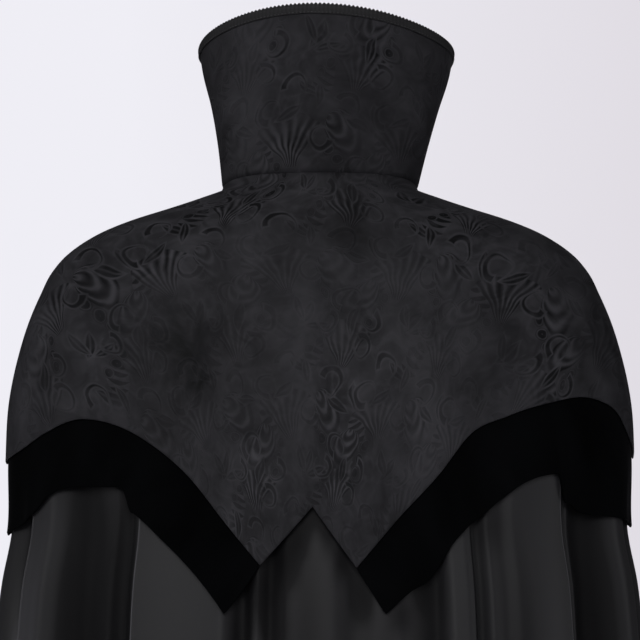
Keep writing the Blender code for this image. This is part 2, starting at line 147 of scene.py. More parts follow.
# Creases of the capelet: ridges, and troughs below zero, each from a top to a bottom drop along an axis
# that leans by some degrees on its way
CREASES = columns(
    ("angle", "lean", "top", "bottom", "half_span", "height"),
    (
        (-162, 2, 0.070, 0.250, 0.020, -0.0026),
        (-144, 3, 0.060, 0.240, 0.024, 0.0028),
        (-123, 4, 0.080, 0.220, 0.026, -0.0030),
        (-104, 3, 0.070, 0.210, 0.024, 0.0026),
        (-63, -5, 0.080, 0.220, 0.030, -0.0028),
        (-49, -4, 0.080, 0.200, 0.024, 0.0014),
        (-35, -4, 0.065, 0.215, 0.026, -0.0028),
        (-20, -4, 0.100, 0.280, 0.030, 0.0036),
        (-9, -4, 0.030, 0.170, 0.026, -0.0026),
        (-3, -1, 0.200, 0.285, 0.022, -0.0020),
        (2, 1, 0.035, 0.235, 0.024, 0.0032),
        (12, 4, 0.060, 0.205, 0.022, -0.0018),
        (24, 3, 0.080, 0.245, 0.032, -0.0040),
        (42, 4, 0.060, 0.205, 0.026, -0.0014),
        (62, 6, 0.085, 0.225, 0.026, 0.0022),
        (104, -3, 0.070, 0.210, 0.024, 0.0026),
        (123, -4, 0.080, 0.225, 0.026, -0.0030),
        (144, -3, 0.060, 0.240, 0.024, 0.0028),
        (162, -2, 0.070, 0.250, 0.020, -0.0026),
    ),
)

# Folds of the satin: each is a trough, as wide on its two sides as "before" and "after" say
FOLDS = columns(
    ("angle", "before", "after", "depth"),
    (
        (-170, 4.5, 5.0, 0.007),
        (-156, 8.0, 7.0, 0.014),
        (-139, 9.0, 7.0, 0.012),
        (-119, 8.0, 10.0, 0.017),
        (-101, 8.0, 8.0, 0.011),
        (-79, 9.0, 8.0, 0.008),
        (-56, 11.0, 10.0, 0.022),
        (-48, 3.0, 1.9, 0.010),
        (-32, 3.0, 3.0, 0.004),
        (-27.4, 2.4, 2.2, 0.006),
        (-20, 2.8, 7.0, 0.011),
        (-6, 4.0, 4.0, 0.003),
        (8.4, 2.6, 2.4, 0.007),
        (13.4, 2.8, 4.0, 0.012),
        (34.7, 2.5, 4.6, 0.011),
        (45, 11.0, 10.0, 0.022),
        (68.5, 5.5, 12.0, 0.009),
        (101, 8.0, 9.0, 0.012),
        (120, 9.0, 8.0, 0.016),
        (138, 8.0, 8.0, 0.012),
        (155, 7.0, 8.0, 0.014),
        (169, 5.0, 5.0, 0.007),
    ),
)
FOLD_START = 0.080
FOLD_FULL = 0.420
FOLD_HEM_GROWTH = 1.4

# Pressed edges of the satin: beyond each one the cloth steps in, and comes out again over "fade" degrees.
# Each edge carries a painted highlight along it, of the given share
PLEATS = columns(
    ("angle", "fade", "step", "shine"),
    (
        (-152, -9.0, 0.0030, 0.6),
        (-112, -9.0, 0.0030, 0.6),
        (-80, -8.0, 0.0025, 0.3),
        (-46.1, -11.0, 0.0045, 0.8),
        (-26.4, -6.0, 0.0026, 0.1),
        (32.3, 13.0, 0.0045, 1.0),
        (63.2, 9.0, 0.0035, 1.0),
        (112, 9.0, 0.0030, 0.6),
        (152, 9.0, 0.0030, 0.6),
    ),
)
PLEAT_SPAN = 0.32
PLEAT_LIP = 0.0006
# Width in degrees of the painted highlight along each pressed edge
PLEAT_LINE = 0.15
PLEAT_COLUMNS = (-0.45, -0.29, -0.21, -0.14, -0.07, 0.01, 0.08, 0.15, 0.22, 0.32, 0.50)

# Soft patches of painted shade on the satin, and of painted light where the share is below zero
SATIN_PATCHES = columns(
    ("angle", "drop", "half_span", "half_drop", "share"),
    (
        (-173, 0.350, 5, 0.055, 0.55),
        (-59, 0.430, 6, 0.250, 0.60),
        (-54.5, 0.430, 4, 0.250, 0.35),
        (-49.3, 0.430, 3, 0.250, -0.90),
        (-41.5, 0.430, 4, 0.200, -0.15),
        (-35.2, 0.430, 4, 0.200, 0.60),
        (-30, 0.296, 6, 0.035, 0.45),
        (-18, 0.350, 3.5, 0.026, 0.80),
        (-13.5, 0.372, 3.5, 0.026, 0.70),
        (-10, 0.392, 4, 0.045, 0.20),
        (-7.2, 0.354, 3.4, 0.036, 1.20),
        (-3.9, 0.326, 3, 0.028, 0.70),
        (-1.5, 0.307, 2.4, 0.024, 0.60),
        (0, 0.288, 7, 0.026, 0.90),
        (0, 0.420, 17, 0.220, 0.28),
        (2.5, 0.410, 4.5, 0.200, 0.36),
        (3.9, 0.307, 3.2, 0.026, 1.20),
        (6.0, 0.325, 4, 0.034, 1.40),
        (6.6, 0.385, 2.6, 0.050, 0.60),
        (8.6, 0.344, 4.6, 0.032, 1.50),
        (9.5, 0.372, 5, 0.036, 0.70),
        (10.6, 0.440, 1.8, 0.100, -0.60),
        (13.0, 0.390, 4, 0.050, 0.30),
        (37.2, 0.430, 2.5, 0.250, 0.40),
        (40.5, 0.430, 2.5, 0.250, -0.25),
        (47, 0.430, 5, 0.250, 0.35),
        (57.8, 0.430, 4.5, 0.200, -0.45),
        (61.5, 0.430, 3.0, 0.200, -0.45),
        (68, 0.430, 7, 0.130, -1.60),
        (173, 0.350, 5, 0.055, 0.55),
    ),
)

# Soft patches of painted shade on the brocade, and of painted light below zero. Negative drops are on the
# collar
BROCADE_SHADE_PATCHES = columns(
    ("angle", "drop", "half_span", "half_drop", "share"),
    (
        (-155, 0.150, 14, 0.090, 0.45),
        (-122, 0.140, 14, 0.100, 0.40),
        (-70, 0.130, 17, 0.130, 0.75),
        (-37, 0.150, 8, 0.080, 0.20),
        (-30, -0.050, 26, 0.090, 0.10),
        (-20, 0.225, 9, 0.085, -0.75),
        (-14, 0.180, 14, 0.090, -0.35),
        (-9, 0.038, 17, 0.060, 0.85),
        (-3, -0.040, 24, 0.070, 0.40),
        (2, 0.262, 6, 0.035, 0.25),
        (3, 0.150, 6, 0.120, -0.50),
        (14, 0.055, 10, 0.040, -0.35),
        (16, 0.245, 6, 0.050, -0.25),
        (24, 0.155, 12, 0.090, 1.05),
        (45, 0.105, 16, 0.070, 0.30),
        (48, -0.075, 26, 0.110, -0.65),
        (66, 0.150, 14, 0.090, -0.75),
        (122, 0.140, 14, 0.100, 0.40),
        (155, 0.150, 14, 0.090, 0.45),
    ),
)

# Soft zones of painted sheen, in which the brocade's woven motifs show clearly. Negative drops are on the
# collar
MOTIF_PATCHES = columns(
    ("angle", "drop", "half_span", "half_drop", "share"),
    (
        (-165, 0.200, 11, 0.070, 0.70),
        (-160, -0.060, 26, 0.050, 0.60),
        (-148, 0.090, 16, 0.070, 0.90),
        (-118, 0.070, 20, 0.060, 1.00),
        (-105, -0.080, 26, 0.055, 0.70),
        (-88, 0.080, 16, 0.060, 0.60),
        (-46, 0.175, 9, 0.045, 0.80),
        (-44, 0.120, 12, 0.070, 1.00),
        (-36, 0.085, 12, 0.045, 0.50),
        (-33, 0.050, 19, 0.052, 1.10),
        (-30, -0.110, 17, 0.045, 0.66),
        (-19, 0.205, 6, 0.045, 0.40),
        (-11, 0.150, 6, 0.045, 0.60),
        (-8, 0.028, 14, 0.032, 0.50),
        (-5, -0.030, 18, 0.040, 0.40),
        (-4, 0.200, 8, 0.080, 0.75),
        (-4, 0.258, 8, 0.040, 0.60),
        (5, -0.115, 14, 0.035, 0.30),
        (11, 0.263, 7, 0.045, 0.70),
        (12, 0.222, 6, 0.030, 0.30),
        (14, 0.305, 6, 0.032, 0.60),
        (16, 0.025, 18, 0.038, 0.95),
        (18, -0.022, 26, 0.036, 0.56),
        (23, -0.090, 16, 0.055, 0.54),
        (33, 0.062, 13, 0.045, 0.90),
        (42, 0.040, 20, 0.055, 1.10),
        (42, 0.165, 10, 0.055, 0.80),
        (44, 0.092, 11, 0.045, 0.70),
        (56, 0.085, 19, 0.062, 1.00),
        (56, 0.150, 11, 0.060, 0.50),
        (88, 0.080, 16, 0.060, 0.60),
        (105, -0.080, 26, 0.055, 0.70),
        (118, 0.070, 20, 0.060, 1.00),
        (148, 0.090, 16, 0.070, 0.90),
        (160, -0.060, 26, 0.050, 0.60),
        (165, 0.200, 11, 0.070, 0.70),
    ),
)

# How strongly the motifs' tones show in those zones: low on the cloth, with a rise near the neck and towards
# the sides, and the share that the weave has everywhere
# The motifs are woven; their rise near the neck and towards the sides is painted sheen
MOTIF_GAIN = 1.6
MOTIF_FADE_END = 0.20
MOTIF_FADE_SPAN = 0.10
MOTIF_SIDE = {"start": 26, "full": 40, "share": 0.7}
MOTIF_STRENGTHS = {
    "dark": {"low": 0.34, "rise": 0.58, "weave": 0.19},
    "bright": {"low": 0.80, "rise": -0.30, "weave": 0.20},
}

# Height above the neck seam of the point that the capelet's pattern fans out from, as on a cone laid flat
FAN_APEX = 0.10

# Capelet hem and the velvet's lower edge, as drops over the angle from the centre back
NOTCH_ANGLE = 1.3
NOTCH_DROP = 0.281
HEM_LEFT = columns(
    ("angle", "drop"),
    (
        (10.2, 0.330),
        (17.0, 0.293),
        (24.0, 0.252),
        (31.0, 0.225),
        (43.5, 0.207),
        (55.0, 0.218),
        (70.0, 0.235),
        (90.0, 0.243),
    ),
)
HEM_RIGHT = columns(
    ("angle", "drop"),
    (
        (6.2, 0.332),
        (13.5, 0.292),
        (20.7, 0.255),
        (26.0, 0.222),
        (33.5, 0.205),
        (42.0, 0.194),
        (58.0, 0.190),
        (65.0, 0.199),
        (70.0, 0.213),
        (90.0, 0.238),
    ),
)
VELVET_LEFT = columns(
    ("angle", "drop"),
    (
        (16.0, 0.369),
        (20.2, 0.343),
        (27.4, 0.308),
        (33.0, 0.286),
        (39.0, 0.283),
        (54.0, 0.290),
        (59.0, 0.301),
        (68.0, 0.314),
        (90.0, 0.324),
    ),
)
VELVET_RIGHT = columns(
    ("angle", "drop"),
    (
        (10.8, 0.369),
        (15.2, 0.351),
        (18.8, 0.340),
        (22.4, 0.314),
        (29.5, 0.283),
        (37.4, 0.258),
        (43.0, 0.252),
        (53.4, 0.263),
        (64.0, 0.267),
        (90.0, 0.276),
    ),
)
TUCK_LEFT = {"angle": 34.7, "shift": -0.020}
TUCK_RIGHT = {"angle": 45.4, "shift": 0.021}
TUCK_HALF_SPAN = 0.9
VELVET_LAP = 0.22
VELVET_LAP_INSET = 0.05
VELVET_FOLLOW = 0.55
HALVES = (
    {"hand": "left", "side": 1, "hem": HEM_LEFT, "edge": VELVET_LEFT, "tuck": TUCK_LEFT},
    {"hand": "right", "side": -1, "hem": HEM_RIGHT, "edge": VELVET_RIGHT, "tuck": TUCK_RIGHT},
)
QUARTERS = (("back", False), ("front", True))

# Satin's distance inside the form's surface, at the neck seam and below the shoulders
SATIN_INSET_NECK = 0.0022
SATIN_INSET = 0.0066
SATIN_INSET_DROP = 0.080
# Fold and step depths that give a full share of painted shade on the satin, and its largest share
RECESS_DEPTH = 0.012
RECESS_STEP = 0.0080
RECESS_MOST = 2.2
HEM_TURN = 0.018
HEM_TURN_STEP = 0.0018
HEM_TURN_RISE = 0.0005

# Stand collar: half sizes of its level sections over the share of its height
COLLAR = columns(
    ("share", "half_width", "back", "front"),
    (
        (0.00, 0.0860, 0.0725, 0.0725),
        (0.30, 0.0924, 0.0760, 0.0790),
        (0.60, 0.1005, 0.0810, 0.0880),
        (0.85, 0.1089, 0.0860, 0.0970),
        (1.00, 0.1120, 0.0880, 0.1020),
    ),
)
COLLAR_HEIGHT_BACK = 0.141
COLLAR_HEIGHT_SIDE = 0.119
COLLAR_HEIGHT_FRONT = 0.095
COLLAR_LEAN = -0.0056
COLLAR_TURN = 5.0
COLLAR_TILT = 0.001
COLLAR_OPEN_NECK = 2.5
COLLAR_OPEN_TOP = 38.0
COLLAR_CORNER_START = 0.86
COLLAR_CORNER_DROP = 0.30
BINDING_SHARE = 0.036

# Stitches: their place down the binding, how full their ends are, and how far they stand out in the
# middle and dive at the ends, as shares of the thread
STITCH_LEVEL = 0.80
STITCH_FULLNESS = 1.05
STITCH_LIFT = 0.6
STITCH_DIVE = 2.2

# Dip along the neck seam
SEAM_DIP = 0.0016
SEAM_DIP_SPAN = 0.0045

# Hook and eye at the centre front, inside the collar's lower edge
FASTENER_WIRE = 0.0005
FASTENER_SHARE = 0.09
EYE_CENTRE = 0.0045
EYE_HALF_LENGTH = 0.0055
EYE_HALF_HEIGHT = 0.0025
HOOK_ROUTE = columns(
    ("step", "across", "inwards"),
    (
        (0, -0.0120, 0.0010),
        (1, -0.0060, 0.0010),
        (2, -0.0030, 0.0022),
        (3, 0.0000, 0.0026),
        (4, 0.0013, 0.0019),
        (5, 0.0015, 0.0009),
        (6, 0.0011, -0.0003),
        (7, -0.0003, -0.0010),
        (8, -0.0018, -0.0008),
    ),
)

# Mesh steps
CAPELET_ROWS = 110
CAPELET_ROW_CROWDING = 1.25
CAPELET_NOTCH_STEPS = 14
CAPELET_ARCH_STEPS = 110
VELVET_ROWS = 26
VELVET_COLUMNS = 170
SATIN_TOP_ROWS = 62
SATIN_LOW_ROWS = 44
SATIN_TOP_DROP = 0.50
SATIN_COLUMNS = 210
COLLAR_ROWS = 64
COLLAR_SEAM_SHARE = 0.038
COLLAR_SEAM_ROWS = (0.028, 0.020, 0.014, 0.009, 0.005, 0.0025, 0.001, 0.0)
COLLAR_COLUMNS = 361
BINDING_LEG_STEPS = 5
BINDING_TOP_STEPS = 9
BINDING_STEPS_PER_PICOT = 8
RIM_STEPS = 3
SHARP_ANGLE = 62
SUPPORT_ANGLE = 0.08
SUPPORT_SHARE = 0.0015
WIRE_SIDES = 12
WIRE_POINTS = 64
STITCH_SIDES = 6
STITCH_RINGS = 5
ANGLE_STEP = 0.01
LENGTH_STEP = 0.0001
SHARE_STEP = 0.001
LEVEL_NUDGE = 1e-6


# Settings


def colour_setting(name, description, default):
    """A colour."""
    return FloatVectorProperty(
        name=name, description=description, subtype="COLOR", size=3, min=0.0, max=1.0, default=default
    )


def length_setting(name, description, default):
    """A length in metres."""
    return FloatProperty(
        name=name, description=description, subtype="DISTANCE", unit="LENGTH", default=default
    )


def point_setting(name, description, default):
    """A place in metres."""
    return FloatVectorProperty(
        name=name, description=description, subtype="TRANSLATION", unit="LENGTH", size=3, default=default
    )


def power_setting(name, description, default):
    """A light's power in watts."""
    return FloatProperty(name=name, description=description, unit="POWER", min=0.0, default=default)


class CloakCloth(bpy.types.PropertyGroup):
    """Colours and pattern sizes of the cloths."""

    brocade_ground: colour_setting(
        "Brocade ground", "Colour of the ground between the woven motifs", (0.0310, 0.0304, 0.0345)
    )
    brocade_motif: colour_setting(
        "Brocade motif", "Colour of the darkest strokes of the woven motifs", (0.0058, 0.0057, 0.0067)
    )
    repeat_width: length_setting("Repeat width", "Width of one repeat of the brocade", 0.104)
    repeat_height: length_setting("Repeat height", "Height of one repeat of the brocade", 0.128)
    velvet: colour_setting("Velvet", "Colour of the velvet pile", (0.0027, 0.0029, 0.0034))
    satin: colour_setting("Satin", "Colour of the satin", (0.0225, 0.0222, 0.0248))


class CloakTrim(bpy.types.PropertyGroup):
    """Sizes and colours of the collar's binding, its stitches and the hook and eye."""

    binding: colour_setting(
        "Binding", "Colour of the ribbed binding and its thread", (0.0152, 0.0148, 0.0172)
    )
    picot_pitch: length_setting(
        "Picot pitch", "Distance between the small loops along the binding's top", 0.0036
    )
    picot_height: length_setting("Picot height", "Height of the small loops along the binding's top", 0.0015)
    stitch_pitch: length_setting("Stitch pitch", "Distance from one stitch to the next", 0.0032)
    stitch_length: length_setting("Stitch length", "Length of one stitch that shows", 0.0022)
    thread: length_setting("Thread", "Radius of the sewing thread", 0.00035)
    wire: colour_setting("Wire", "Colour of the lacquered hook and eye", SLOT_COLOUR["fastener"])


class CloakStudio(bpy.types.PropertyGroup):
    """Light, backdrop and camera."""

    backdrop_left: colour_setting(
        "Backdrop left", "Colour that the camera sees behind the cloak, on the left", (0.863, 0.855, 0.913)
    )
    backdrop_right: colour_setting(
        "Backdrop right", "Colour that the camera sees behind the cloak, on the right", (0.745, 0.716, 0.768)
    )
    room_light: FloatProperty(
        name="Room light", description="Strength of the pale light from all round", min=0.0, default=0.06
    )
    key_power: power_setting("Key power", "Power of the large soft light behind the camera", 52.0)
    top_power: power_setting("Top power", "Power of the soft light above the shoulders", 5.0)
    side_power: power_setting("Side power", "Power of the soft light on the picture's left", 13.0)
    fill_power: power_setting("Fill power", "Power of the weak light on the picture's right", 9.0)
    front_power: power_setting("Front power", "Power of the soft light on the cloak's front", 44.0)
    camera_place: point_setting("Camera place", "Where the camera stands", (0.0, 3.4, -0.30))
    camera_aim: point_setting("Camera aim", "The point at the middle of the picture", (0.0, 0.0, -0.116))
    picture_width: length_setting("Picture width", "Width of the view at the camera's aim", 0.5632)


# Curves and draped surfaces


def smooth(table, name, at):
    """Smooth curve through a table's column over its first column: cubic pieces with shared slopes."""
    knots = next(iter(table.values()))
    values = table[name]
    slopes = np.gradient(values, knots)
    low = np.clip(np.searchsorted(knots, at) - 1, 0, len(knots) - 2)
    span = knots[low + 1] - knots[low]
    s = (at - knots[low]) / span
    start = (1 + 2 * s) * (1 - s) ** 2 * values[low] + s * (1 - s) ** 2 * span * slopes[low]
    end = s**2 * (3 - 2 * s) * values[low + 1] + s**2 * (s - 1) * span * slopes[low + 1]
    return start + end


def ease(start, end, at):
    """0 before start, 1 after end, and a smooth rise between them."""
    s = np.clip((at - start) / (end - start), 0, 1)
    return s**2 * (3 - 2 * s)


def neck_rise(angle):
    """Height of the neck seam: a sum of the angle's cosine and its square, 0 at the sides."""
    turn = np.cos(np.radians(angle))
    return (NECK_BACK_RISE - NECK_FRONT_RISE) / 2 * turn + (NECK_BACK_RISE + NECK_FRONT_RISE) / 2 * turn**2


def section_depth(table, cosine, at):
    """Depth of a level section: from the table's front to its back, by the angle's cosine."""
    to_back = 0.5 + 0.5 * cosine
    return smooth(table, "back", at) * to_back + smooth(table, "front", at) * (1 - to_back)


def bump(reach):
    """1 at the middle, falling as a half cosine to 0 at a reach of 1 either way."""
    return np.where(np.abs(reach) < 1, 0.5 + 0.5 * np.cos(np.pi * reach), 0)


def unit(vectors):
    """Vectors of length 1 along the last axis."""
    return vectors / np.linalg.norm(vectors, axis=-1, keepdims=True)


def waves(angle, drop):
    """How far the capelet's broad waves stand out: one cosine bump for each row of the table."""
    rows = zip(*WAVES.values())
    total = sum(height * bump((angle - middle) / half_span) for middle, half_span, height in rows)
    return total * ease(WAVE_START, WAVE_FULL, drop)


def creases(angle, drop):
    """How far the creases stand out: each a cosine bump across its leaning axis times one along it."""
    total = 0
    per_degree = np.radians(smooth(FORM, "half_width", drop))
    for start, lean, top, bottom, half_span, height in zip(*CREASES.values()):
        share = (drop - top) / (bottom - top)
        across = (angle - start - lean * share) * per_degree
        total = total + height * bump(across / half_span) * bump(2 * share - 1)
    return total


def form(angle, drop):
    """The draped outer form: superellipse sections, with the waves and creases added, below a neck seam
    that rises at the back."""
    turn = np.radians(angle)
    power = smooth(FORM, "squareness", drop)
    sine, cosine = np.sin(turn), np.cos(turn)
    swell = (np.abs(sine) ** power + np.abs(cosine) ** power) ** (-1 / power)
    wave = waves(angle, drop) + creases(angle, drop)
    return np.stack(
        [
            (smooth(FORM, "half_width", drop) * swell + wave) * sine,
            (section_depth(FORM, cosine, drop) * swell + wave) * cosine,
            neck_rise(angle) * (1 - ease(0, LEVEL_DROP, drop)) - drop,
        ],
        axis=-1,
    )


def along(surface, angle, drop):
    """Steps of a surface for one degree of angle and one metre of drop, by central differences."""
    across = surface(angle + ANGLE_STEP, drop) - surface(angle - ANGLE_STEP, drop)
    down = surface(angle, drop + LENGTH_STEP) - surface(angle, drop - LENGTH_STEP)
    return across / (2 * ANGLE_STEP), down / (2 * LENGTH_STEP)


def normal(surface, angle, drop):
    """Unit normal of a surface, pointing away from the wearer: the cross product of its two steps."""
    return unit(np.cross(*along(surface, angle, drop)))


def inside(surface, angle, drop, distance):
    """Points of a surface moved inwards along its normal."""
    return surface(angle, drop) - np.expand_dims(distance, -1) * normal(surface, angle, drop)


def fold_depth(angle, drop):
    """How far the satin's troughs sink: the deepest of the table's cosine troughs, growing to the hem."""
    total = 0
    for middle, before, after, depth in zip(*FOLDS.values()):
        side = np.where(angle < middle, before, after)
        total = np.maximum(total, depth * bump((angle - middle) / side))
    growth = 1 + FOLD_HEM_GROWTH * np.clip((drop - FOLD_FULL) / (HEM_DROP - FOLD_FULL), 0, 1)
    return total * ease(FOLD_START, FOLD_FULL, drop) * growth


def pleat_depth(angle, drop):
    """How far the cloth steps in at its pressed edges, each with a thin raised lip."""
    total = 0
    for edge, fade, step, _ in zip(*PLEATS.values()):
        beyond = (angle - edge) * np.sign(fade)
        stepped = ease(0, PLEAT_SPAN, beyond) * (1 - ease(PLEAT_SPAN, abs(fade), beyond))
        total = total + step * stepped - PLEAT_LIP * bump((beyond + PLEAT_SPAN / 2) / PLEAT_SPAN)
    return total * ease(FOLD_START, FOLD_FULL, drop)


def patches(table, angle, drop):
    """Sum of a table's soft patches: each a cosine bump across times one down."""
    return sum(
        share * bump((angle - middle) / half_span) * bump((drop - level) / half_drop)
        for middle, level, half_span, half_drop, share in zip(*table.values())
    )


def brocade_shares(angle, drop, down):
    """The brocade's attributes: its painted shade, lighter below zero, and how strongly its dark strokes
    and bright lines show, partly as painted sheen. Strokes are darkest near the neck, by the distance
    down the cloth, and towards the sides."""
    shown = np.clip(MOTIF_GAIN * patches(MOTIF_PATCHES, angle, drop), 0, 1)
    high = np.clip((MOTIF_FADE_END - down) / MOTIF_FADE_SPAN, 0, 1)
    side = MOTIF_SIDE["share"] * ease(MOTIF_SIDE["start"], MOTIF_SIDE["full"], np.abs(angle))
    high = np.maximum(high, side)
    shares = {"dull": patches(BROCADE_SHADE_PATCHES, angle, drop)}
    for tone, strength in MOTIF_STRENGTHS.items():
        shares[tone] = shown * (strength["low"] + strength["rise"] * high) + strength["weave"]
    return shares


def satin_light(angle, drop):
    """Painted shade of the satin, by its folds, steps and patches, and painted light below zero, as the
    painted highlights along its pressed edges."""
    dark = fold_depth(angle, drop) / RECESS_DEPTH + pleat_depth(angle, drop) / RECESS_STEP
    dark = np.clip(dark + patches(SATIN_PATCHES, angle, drop), -1, RECESS_MOST)
    for edge, fade, _, shine in zip(*PLEATS.values()):
        beyond = (angle - edge) * np.sign(fade)
        dark = dark - shine * bump((beyond + PLEAT_SPAN / 2) / PLEAT_LINE)
    return dark


def seam_dip(points, distance):
    """Points near the neck seam, moved level towards the neck by a parabola of their distance from it."""
    near = np.clip(1 - distance / SEAM_DIP_SPAN, 0, 1)
    return points - np.expand_dims(SEAM_DIP * near**2, -1) * unit(points * (1.0, 1.0, 0.0))


def satin_surface(angle, drop):
    """Outer face of the satin: the form, moved in by the layers above it, by the folds and by the pressed
    edges, and out again by the turned hem."""
    clear = SATIN_INSET_NECK + (SATIN_INSET - SATIN_INSET_NECK) * ease(0, SATIN_INSET_DROP, drop)
    turn_top = HEM_DROP - HEM_TURN
    turned = HEM_TURN_RISE * ease(turn_top - HEM_TURN_STEP, turn_top, drop)
    depth = clear + fold_depth(angle, drop) + pleat_depth(angle, drop) - turned
    return seam_dip(inside(form, angle, drop, depth), drop)


def velvet_surface(angle, drop, hang):
    """Outer face of the velvet: under the capelet at its seam, sinking into the folds below it."""
    sunk = VELVET_FOLLOW * np.clip(hang, 0, 1) * fold_depth(angle, drop)
    return inside(form, angle, drop, BROCADE_WALL + LAP_GAP + sunk)


def collar_height(angle):
    """Height of the collar: by the squared cosine, lowest at the front, with its peak near the centre
    back, and tilted a little by the sine."""
    turn = np.cos(np.radians(angle - COLLAR_TURN))
    end = np.where(turn > 0, COLLAR_HEIGHT_BACK, COLLAR_HEIGHT_FRONT)
    tilt = COLLAR_TILT * np.sin(np.radians(angle))
    return COLLAR_HEIGHT_SIDE + (end - COLLAR_HEIGHT_SIDE) * turn**2 + tilt


def collar_surface(place, share):
    """Outer face of the collar: ellipses that widen up its height. Place runs from -1 to 1 between its
    front edges, share up its height."""
    opening = COLLAR_OPEN_NECK + (COLLAR_OPEN_TOP - COLLAR_OPEN_NECK) * share
    angle = place * (180 - opening)
    turn = np.radians(angle)
    reach = np.clip((np.abs(place) - COLLAR_CORNER_START) / (1 - COLLAR_CORNER_START), 0, 1)
    corner = 1 - COLLAR_CORNER_DROP * reach**2
    height = collar_height(angle) * corner
    return np.stack(
        [
            smooth(COLLAR, "half_width", share) * np.sin(turn) + COLLAR_LEAN * np.sin(np.pi / 2 * share),
            section_depth(COLLAR, np.cos(turn), share) * np.cos(turn),
            neck_rise(angle) + share * height,
        ],
        axis=-1,
    )


def collar_normal(place, share):
    """Unit normal of the collar's outer face, by differences taken just inside its front edges."""
    held = np.clip(place, SHARE_STEP - 1, 1 - SHARE_STEP)
    across = collar_surface(held + SHARE_STEP, share) - collar_surface(held - SHARE_STEP, share)
    up = collar_surface(held, share + SHARE_STEP) - collar_surface(held, share - SHARE_STEP)
    return unit(np.cross(up, across))


def front_edge(drop):
    """Angle of the centre front edge: the opening widens evenly from the neck to the hem."""
    half_gap = (FRONT_GAP_NECK + (FRONT_GAP_HEM - FRONT_GAP_NECK) * drop / HEM_DROP) / 2
    across, _ = along(form, np.full_like(drop, 180.0), drop)
    return 180 - half_gap / np.linalg.norm(across, axis=-1)


def hem_drop(table, steps):
    """Drop of the capelet's hem: straight from the notch to the point, then along the arch."""
    point_angle, point_drop = table["angle"][0], table["drop"][0]
    to_point = NOTCH_DROP + (point_drop - NOTCH_DROP) * (steps - steps[0]) / (point_angle - steps[0])
    return np.where(steps < point_angle, to_point, smooth(table, "drop", steps))


def velvet_edge(edge, tuck, angle):
    """Drop of the velvet's lower edge, with the step that a tuck in one fold gives it."""
    step = ease(tuck["angle"] - TUCK_HALF_SPAN, tuck["angle"] + TUCK_HALF_SPAN, angle)
    return smooth(edge, "drop", angle) + tuck["shift"] * step


def drawn_in(surface, angle, drop, first_shift, last_shift):
    """Squeezes a panel's columns evenly, so that its first and last columns move in by two distances."""
    across, _ = along(surface, angle, drop)
    per_degree = np.linalg.norm(across, axis=-1)
    first, last = angle[:, :1], angle[:, -1:]
    share = (angle - first) / (last - first)
    shift = first_shift * (1 - share) - last_shift * share
    return angle + np.sign(last - first) * shift / per_degree


def with_supports(steps, distance):
    """Steps with one more close to each end, which keeps the rounding of a seam's edge narrow."""
    inward = np.sign(steps[-1] - steps[0]) * distance
    return np.concatenate([steps[:1], [steps[0] + inward], steps[1:-1], [steps[-1] - inward], steps[-1:]])


def panel_angles(steps, drop, is_front):
    """Columns of a quarter panel: the last column of a front follows the centre front edge."""
    if not is_front:
        return np.broadcast_to(steps, drop.shape).copy()
    share = (steps - 90) / 90
    return 90 + share * (front_edge(drop) - 90)


# Meshes from arrays


def mesh_object(name, points, faces, places, finish, shares=None):
    """A smooth-shaded mesh object from an array of points, arrays of faces with equal corner counts, each
    point's place on the flat cloth, kept as the UV map, and its values of the attributes given."""
    corners = np.concatenate([block.ravel() for block in faces]).astype(np.int32)
    counts = np.concatenate([np.full(len(block), block.shape[1]) for block in faces])
    starts = np.concatenate([[0], np.cumsum(counts)[:-1]]).astype(np.int32)
    mesh = bpy.data.meshes.new(name)
    mesh.vertices.add(len(points))
    mesh.vertices.foreach_set("co", points.astype(np.float32).ravel())
    mesh.loops.add(len(corners))
    mesh.loops.foreach_set("vertex_index", corners)
    mesh.polygons.add(len(starts))
    mesh.polygons.foreach_set("loop_start", starts)
    mesh.update(calc_edges=True)
    flat = mesh.uv_layers.new(name="cloth")
    flat.data.foreach_set("uv", places[corners].astype(np.float32).ravel())
    for key, values in (shares or {}).items():
        mesh.attributes.new(key, "FLOAT", "POINT").data.foreach_set("value", values.astype(np.float32))
    if mesh.validate():
        raise RuntimeError(f"{name} has faces that Blender had to repair")
    mesh.shade_smooth()
    mesh.set_sharp_from_angle(angle=math.radians(SHARP_ANGLE))
    mesh.materials.append(finish)
    piece = bpy.data.objects.new(name, mesh)
    bpy.context.scene.collection.objects.link(piece)
    return piece


def grid_faces(index):
    """Quads of a grid of point numbers."""
    corners = [index[:-1, :-1], index[:-1, 1:], index[1:, 1:], index[1:, :-1]]
    return np.stack(corners, axis=-1).reshape(-1, 4)


def ring_faces(index):
    """Quads between rings of point numbers: rows are rings, and each ring closes on itself."""
    onward = np.roll(index, -1, axis=1)
    return np.stack([index[:-1], onward[:-1], onward[1:], index[1:]], axis=-1).reshape(-1, 4)


def border(index):
    """The point numbers round a grid, in order."""
    return np.concatenate([index[0, :-1], index[:-1, -1], index[-1, :0:-1], index[:0:-1, 0]])


